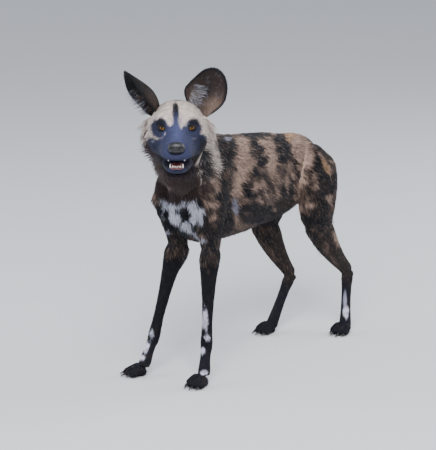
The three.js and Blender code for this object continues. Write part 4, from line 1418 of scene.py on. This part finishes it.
for number, (side_name, ear) in enumerate(EARS.items(), 1):
    ear_at = ear_frame(ear)
    local = local_to(ear_at, root_spots)
    inward = -turned_to(ear_at, root_normals)[:, 1]
    pale_side = local[:, 0] * ear["side"] * ear["pale"]
    inner_edge = (pale_side > 6) & (pale_side < 42) & (local[:, 2] > 12) & (local[:, 2] < ear["hair_top"])
    rows = chosen((root_ear == number) & (inward > 0.1) & inner_edge, 0.26)
    sweep = Vector((-ear["pale"] * ear["side"] * ear["sweep"], -0.5, 0.12))
    across = np.array(ear_at.to_3x3() @ sweep)
    sizes_out = np.tile(EAR_HAIR, (len(rows), 1))
    pale = TONE_ROWS["white"] * 0.6 * rng.uniform(0.15, 1.1, (len(rows), 1))
    pale += root_colours[rows] * 0.35
    blades(
        f"ear_hair_{side_name}", root_spots[rows], root_normals[rows], np.tile(across, (len(rows), 1)),
        sizes_out, pale, root_tiles[rows], 2, 0.2, 0.12,
    )

# %% [markdown]
# ## Eyes
# A wild dog's eye is amber with a round pupil and a black edge, set under a heavy brow. The
# ball is a fine sphere with its pole along the gaze. Each corner stores where it sits on the
# wheel of the iris, so the streaks can run outwards from the pupil.

# %% Eyeballs
GAZE = (HEAD_TURN.inverted() @ camera_back + Vector((0, -1, 0))).normalized()


def eye_material():
    """Amber rings by the distance from the pupil, with streaks round the wheel of the iris."""
    made, tree, shader = material_of(
        "eye_amber", 0.16, Specular_IOR_Level=0.12, Coat_Weight=0.14, Coat_Roughness=0.05
    )
    wheel = add(tree, "Attribute", attribute_name="eye_wheel")
    parts = add(tree, "SeparateXYZ")
    rings = ramp(
        tree,
        (0.21, (0.002, 0.002, 0.002)), (0.235, (0.06, 0.026, 0.006)), (0.34, (0.29, 0.135, 0.022)),
        (0.46, (0.20, 0.092, 0.016)), (0.53, (0.06, 0.026, 0.01)), (0.60, (0.006, 0.004, 0.003)),
    )
    streak = add(tree, "TexNoise", Scale=5, Detail=2)
    contrast = add(tree, "MapRange", To_Min=0.55, To_Max=1.5)
    scaled = add(tree, "VectorMath", operation="SCALE")
    wire(
        tree,
        (wheel, "Vector", parts, "Vector"), (parts, "Z", rings, "Fac"),
        (wheel, "Vector", streak, "Vector"), (streak, "Fac", contrast, "Value"),
        (rings, "Color", scaled, "Vector"), (contrast, "Result", scaled, "Scale"),
        (scaled, "Vector", shader, "Base Color"),
    )
    return made


OUTWARD = 0.2  # how far each eye turns away from the nose
CORNEA_RISE, CORNEA_WIDTH = 1.0, 5.5
eye_finish = eye_material()
for side_name, side in SIDES:
    centre = Vector((side * EYE_AT[0], EYE_AT[1], EYE_AT[2]))
    look = (GAZE + Vector((side * OUTWARD, 0, 0))).to_track_quat("Z", "Y").to_matrix()
    form = bmesh.new()
    made = bmesh.ops.create_uvsphere(form, u_segments=48, v_segments=40, radius=EYE_RADIUS)
    wheel_rows = []
    for corner in made["verts"]:
        across = math.hypot(corner.co.x, corner.co.y)
        angle = math.atan2(corner.co.y, corner.co.x)
        share = across / EYE_RADIUS if corner.co.z > 0 else 1
        wheel_rows += [math.cos(angle) * 3, math.sin(angle) * 3, share]
        if corner.co.z > 0:
            corner.co.z += CORNEA_RISE * math.exp(-(across / CORNEA_WIDTH) ** 2)
        corner.co = HEAD @ ((centre + look @ corner.co) * MM)
    eye = finished(f"eyeball_{side_name}", form, eye_finish, "eye")
    eye.data.attributes.new("eye_wheel", "FLOAT_VECTOR", "POINT").data.foreach_set("vector", wheel_rows)
    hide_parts(f"eye_{side_name}")
print("eyes look along", [round(c, 2) for c in GAZE])

# %% [markdown]
# The lids are rings of corners: the first follow the almond of the opening on the ball, the
# next swell into the rim, and the last sink under the skin round the eye.

# %% Lids
def leather_material(name, dark, pale, cells, depth, roughness, **sockets):
    """Bare pebbled skin: pale cells with dark grooves between them, the dark of the grooves a painted
    shade.
    """
    made, tree, shader = material_of(name, roughness, **sockets)
    where = add(tree, "TexCoord")
    pebbles = add(tree, "TexVoronoi", Scale=cells)
    # Painted shade: the colour darkens from each cell's middle towards the grooves that the bump sinks.
    tint = ramp(tree, (0, pale), (0.7, dark))
    rise = add(tree, "Bump", invert=True, Distance=depth, Strength=0.6)
    grain = use(tree, GRAIN_EFFECT, Scale=cells * 2.5, Depth=depth * 0.4)
    wire(
        tree,
        (where, "Object", pebbles, "Vector"), (pebbles, "Distance", tint, "Fac"),
        (pebbles, "Distance", rise, "Height"), (grain, "Normal", rise, "Normal"),
        (rise, "Normal", shader, "Normal"), (tint, "Color", shader, "Base Color"),
    )
    return made


lid_finish = leather_material(
    "lid_skin", (0.006, 0.006, 0.008), (0.014, 0.013, 0.017), 1400, 0.0002, 0.6,
    Specular_IOR_Level=0.15)
OPENING = (8.2, 2.1, 3.4)  # half width, height above and below the middle
LID_TILT = 13
LID_RINGS = [(1.0, 11.75), (1.12, 12.9), (1.45, 13.6), (2.0, None), (2.5, -2.5)]
LID_CORNERS = 36
LID_SPREAD, LID_BALL = 7.4, 13.2


def lid_ring(form, side, scale, radius):
    ring = bmesh.ops.create_circle(form, cap_ends=False, radius=1, segments=LID_CORNERS)["verts"]
    centre = Vector((side * EYE_AT[0], EYE_AT[1], EYE_AT[2]))
    tilt = math.radians(side * LID_TILT)
    reach = (scale - 1) * LID_SPREAD
    for corner in ring:
        across, rise = corner.co.x, corner.co.y
        x = across * (OPENING[0] + reach)
        z = math.copysign(abs(rise) ** 1.15, rise) * ((OPENING[1] if rise > 0 else OPENING[2]) + reach)
        x, z = x * math.cos(tilt) + z * -math.sin(tilt), x * math.sin(tilt) + z * math.cos(tilt)
        on_skin = radius is None or radius < 0
        on_ball = LID_BALL if on_skin else radius
        y = -math.sqrt(max(on_ball ** 2 - x * x - z * z, 4))
        spot = HEAD @ ((centre + Vector((x, y, z))) * MM)
        if on_skin:
            nearest, normal, _, _ = skin_tree.find_nearest(spot)
            spot = nearest + normal * (0.6 if radius is None else radius) * MM
        corner.co = spot
    return list({edge for v in ring for edge in v.link_edges})


for side_name, side in SIDES:
    form = bmesh.new()
    rings = [lid_ring(form, side, scale, radius) for scale, radius in LID_RINGS]
    rings.append(lid_ring(form, side, 1.9, 9.0))
    rings.append(lid_ring(form, side, 1.15, 10.9))
    for ring, following in zip(rings, rings[1:] + rings[:1]):
        bmesh.ops.bridge_loops(form, edges=ring + following)
    lids = finished(f"lids_{side_name}", form, lid_finish, "nose_leather")
    rounding = lids.modifiers.new("round", "SUBSURF")
    rounding.levels = rounding.render_levels = 1
print("lids of", LID_CORNERS, "corners a ring")

# %% [markdown]
# ## Nose and mouth
# The nose is bare pebbled leather, with nostrils that open forwards and slit out sideways.
# Soft pushes on a sphere give the wings and the nostrils, which go in over eight millimetres.

# %% Nose
NOSE_RADII = (22, 13.5, 16.5)
NOSE_FORMS = [
    ("wing", (15, -124, -40), (7, 9, 8), (1.5, -2.5, 0)),
    ("nostril", (11.2, -127, -41.5), (5.2, 9, 4.2), (0, 8.5, 0)),
    ("nostril slit", (18.0, -121, -45.5), (5.5, 8, 2.2), (0, 5, 0)),
    ("middle groove", (0, -128, -46), (1.6, 9, 9), (0, 1.8, 0)),
    ("top edge", (0, -116, -24), (16, 9, 5), (0, 0, -1.5)),
    ("lower edge", (8, -122, -55), (9, 9, 4), (0, 2, 1.5)),
]
form = bmesh.new()
bmesh.ops.create_uvsphere(form, u_segments=80, v_segments=56, radius=1)
pad = np.array([v.co for v in form.verts]) * NOSE_RADII + NOSE_AT
pad = bumps(pad, NOSE_FORMS)
for corner, spot in zip(form.verts, pad):
    corner.co = in_head(*spot)
nose_finish = leather_material(
    "nose_leather", (0.004, 0.004, 0.006), (0.018, 0.019, 0.026), 620, 0.0005, 0.42, Coat_Weight=0.2,
    Coat_Roughness=0.3,
)
nose = finished("nose_leather", form, nose_finish, "nose_leather")
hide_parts("nose")
print("nose:", len(nose.data.polygons), "faces")

# %% [markdown]
# The mouth is a little open, and the lower incisors and canines show over a red gum. A tooth
# is a sphere drawn out and narrowed towards its tip. The gum is a small circle spun round the
# front of the jaw, and the tongue is a sphere with a groove pressed along it.

# %% Teeth, gum and tongue
def simple_material(name, low, high, scale, roughness, depth, **sockets):
    """One colour that drifts between a low and a high tone, over a fine grain."""
    made, tree, shader = material_of(name, roughness, **sockets)
    where = add(tree, "TexCoord")
    mottle = add(tree, "TexNoise", Scale=scale)
    tint = ramp(tree, (0.35, low), (0.65, high))
    grain = use(tree, GRAIN_EFFECT, Scale=scale * 2, Depth=depth)
    wire(
        tree,
        (where, "Object", mottle, "Vector"), (mottle, "Fac", tint, "Fac"),
        (tint, "Color", shader, "Base Color"), (grain, "Normal", shader, "Normal"),
    )
    return made


tooth_finish = simple_material(
    "enamel", (0.52, 0.47, 0.38), (0.74, 0.71, 0.64), 300, 0.22, 0.0001, Coat_Weight=0.5
)
gum_finish = simple_material(
    "gum", (0.05, 0.010, 0.014), (0.13, 0.026, 0.030), 350, 0.3, 0.0003, Coat_Weight=0.4
)
tongue_finish = simple_material("tongue", (0.16, 0.035, 0.036), (0.27, 0.075, 0.070), 500, 0.38, 0.0005)
claw_finish = simple_material("claw_horn", (0.010, 0.009, 0.009), (0.045, 0.036, 0.030), 260, 0.3, 0.0002)


def tooth(form, x, y, foot, tall, wide, up=1):
    made = bmesh.ops.create_uvsphere(form, u_segments=14, v_segments=12, radius=1)["verts"]
    for corner in made:
        rise = (corner.co.z + 1) / 2
        narrow = 1 - 0.72 * rise ** 1.3
        back = 1.6 * rise ** 2 * (tall / 12)
        spot = (
            x + corner.co.x * wide * narrow,
            y + corner.co.y * wide * 0.85 * narrow + back,
            foot + up * rise * tall,
        )
        corner.co = in_head(*spot)


# each tooth: how far aside, how far forward, height and half width
LOWER_TEETH = [
    (2.2, -100.5, 6.6, 1.8), (6.3, -99.7, 7.0, 1.9), (10.2, -98, 7.6, 2.0), (16.2, -94, 12.0, 2.8),
]
UPPER_TEETH = [(20.5, -97, 6.5, 2.4)]
LOWER_FOOT, UPPER_FOOT = -94, -70
form = bmesh.new()
for side in (1, -1):
    for x, y, tall, wide in LOWER_TEETH:
        tooth(form, side * x, y, LOWER_FOOT, tall, wide)
    for x, y, tall, wide in UPPER_TEETH:
        tooth(form, side * x, y, UPPER_FOOT, tall, wide, -1)
finished("teeth", form, tooth_finish, "tongue")


def gum_arc(form, centre, radius, thick):
    ring = bmesh.ops.create_circle(form, cap_ends=True, radius=thick, segments=12)
    for corner in ring["verts"]:
        corner.co = Vector((centre[0] + radius + corner.co.x, centre[1], centre[2] + corner.co.y))
    bmesh.ops.spin(
        form, geom=form.faces[:], cent=centre, axis=(0, 0, 1), angle=-math.pi, steps=28, use_duplicate=False
    )


form = bmesh.new()
gum_arc(form, (0, -84, -94.0), 15.0, 4.0)
for corner in form.verts:
    corner.co = in_head(*corner.co)
finished("gum", form, gum_finish, "tongue")

form = bmesh.new()
for corner in bmesh.ops.create_uvsphere(form, u_segments=48, v_segments=32, radius=1)["verts"]:
    ball = corner.co
    groove = 1.8 * math.exp(-(ball.x / 0.16) ** 2) * (ball.z > 0)
    spot = (ball.x * 15, -58 + ball.y * 30, -88.5 + ball.z * 4.5 - groove - 1.5 * ball.y ** 2)
    corner.co = in_head(*spot)
tongue = finished("tongue_body", form, tongue_finish, "tongue")
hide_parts("tongue")
print("teeth:", 2 * (len(LOWER_TEETH) + len(UPPER_TEETH)))

# %% [markdown]
# Claws and whiskers are both tubes that taper along a bend: circles of a few corners, moved to
# their stations and bridged.

# %% Claws and whiskers
def tapered(form, stations, radii, sides):
    rings = []
    for i, (spot, radius) in enumerate(zip(stations, radii)):
        ahead = stations[min(i + 1, len(stations) - 1)] - stations[max(i - 1, 0)]
        turn = ahead.to_track_quat("Z", "Y").to_matrix()
        made = bmesh.ops.create_circle(form, cap_ends=False, radius=radius, segments=sides)["verts"]
        for corner in made:
            corner.co = spot + turn @ corner.co
        rings.append(list({edge for v in made for edge in v.link_edges}))
    for ring, following in zip(rings, rings[1:]):
        bmesh.ops.bridge_loops(form, edges=ring + following)
    for ring in (rings[0], rings[-1]):
        bmesh.ops.holes_fill(form, edges=ring, sides=0)


# each station of a claw: how far ahead, its height above the floor and its radius
CLAW_STATIONS = [(-3, 8.8, 3.2), (2, 8.8, 3.0), (6.5, 7.6, 2.4), (10, 5.6, 1.5), (12.5, 3.2, 0.5)]
CLAW_ROOT = 0.55


form = bmesh.new()
for _, foot, ahead, aside in paw_frames():
    for x, reach, radius in TOES:
        start = foot * (1, 1, 0) + ahead * (reach + radius * CLAW_ROOT) + aside * x * TOE_SPREAD
        path = [at(*(start + ahead * out + (0, 0, rise))) for out, rise, _ in CLAW_STATIONS]
        tapered(form, path, [r * MM for _, _, r in CLAW_STATIONS], 10)
finished("claws", form, claw_finish, "nose_leather")

WHISKER_RADII = [0.00024, 0.0002, 0.00014, 0.00005]
WHISKER_STEPS = (-0.06, 0.25, 0.6, 1.0)
WHISKER_SAG = Vector((0, 6, -9))
WHISKER_ROWS, WHISKERS_IN_ROW = 3, 4
form = bmesh.new()
for side in (1, -1):
    for row in range(WHISKER_ROWS):
        for place in range(WHISKERS_IN_ROW):
            root = Vector((side * (25 + 2.5 * place), -98 + 9 * place + 3 * row, -52 - 7 * row))
            out = Vector((side * (0.8 + 0.1 * row), -0.15 + 0.22 * place, -0.12 - 0.22 * row))
            reach = out.normalized() * (34 + 6 * place)
            path = [in_head(*(root + reach * t + WHISKER_SAG * t * t)) for t in WHISKER_STEPS]
            tapered(form, path, WHISKER_RADII, 4)
finished("whiskers", form, claw_finish, "short_coat", smooth=False)
print("claws: 16, whiskers:", 2 * WHISKER_ROWS * WHISKERS_IN_ROW)
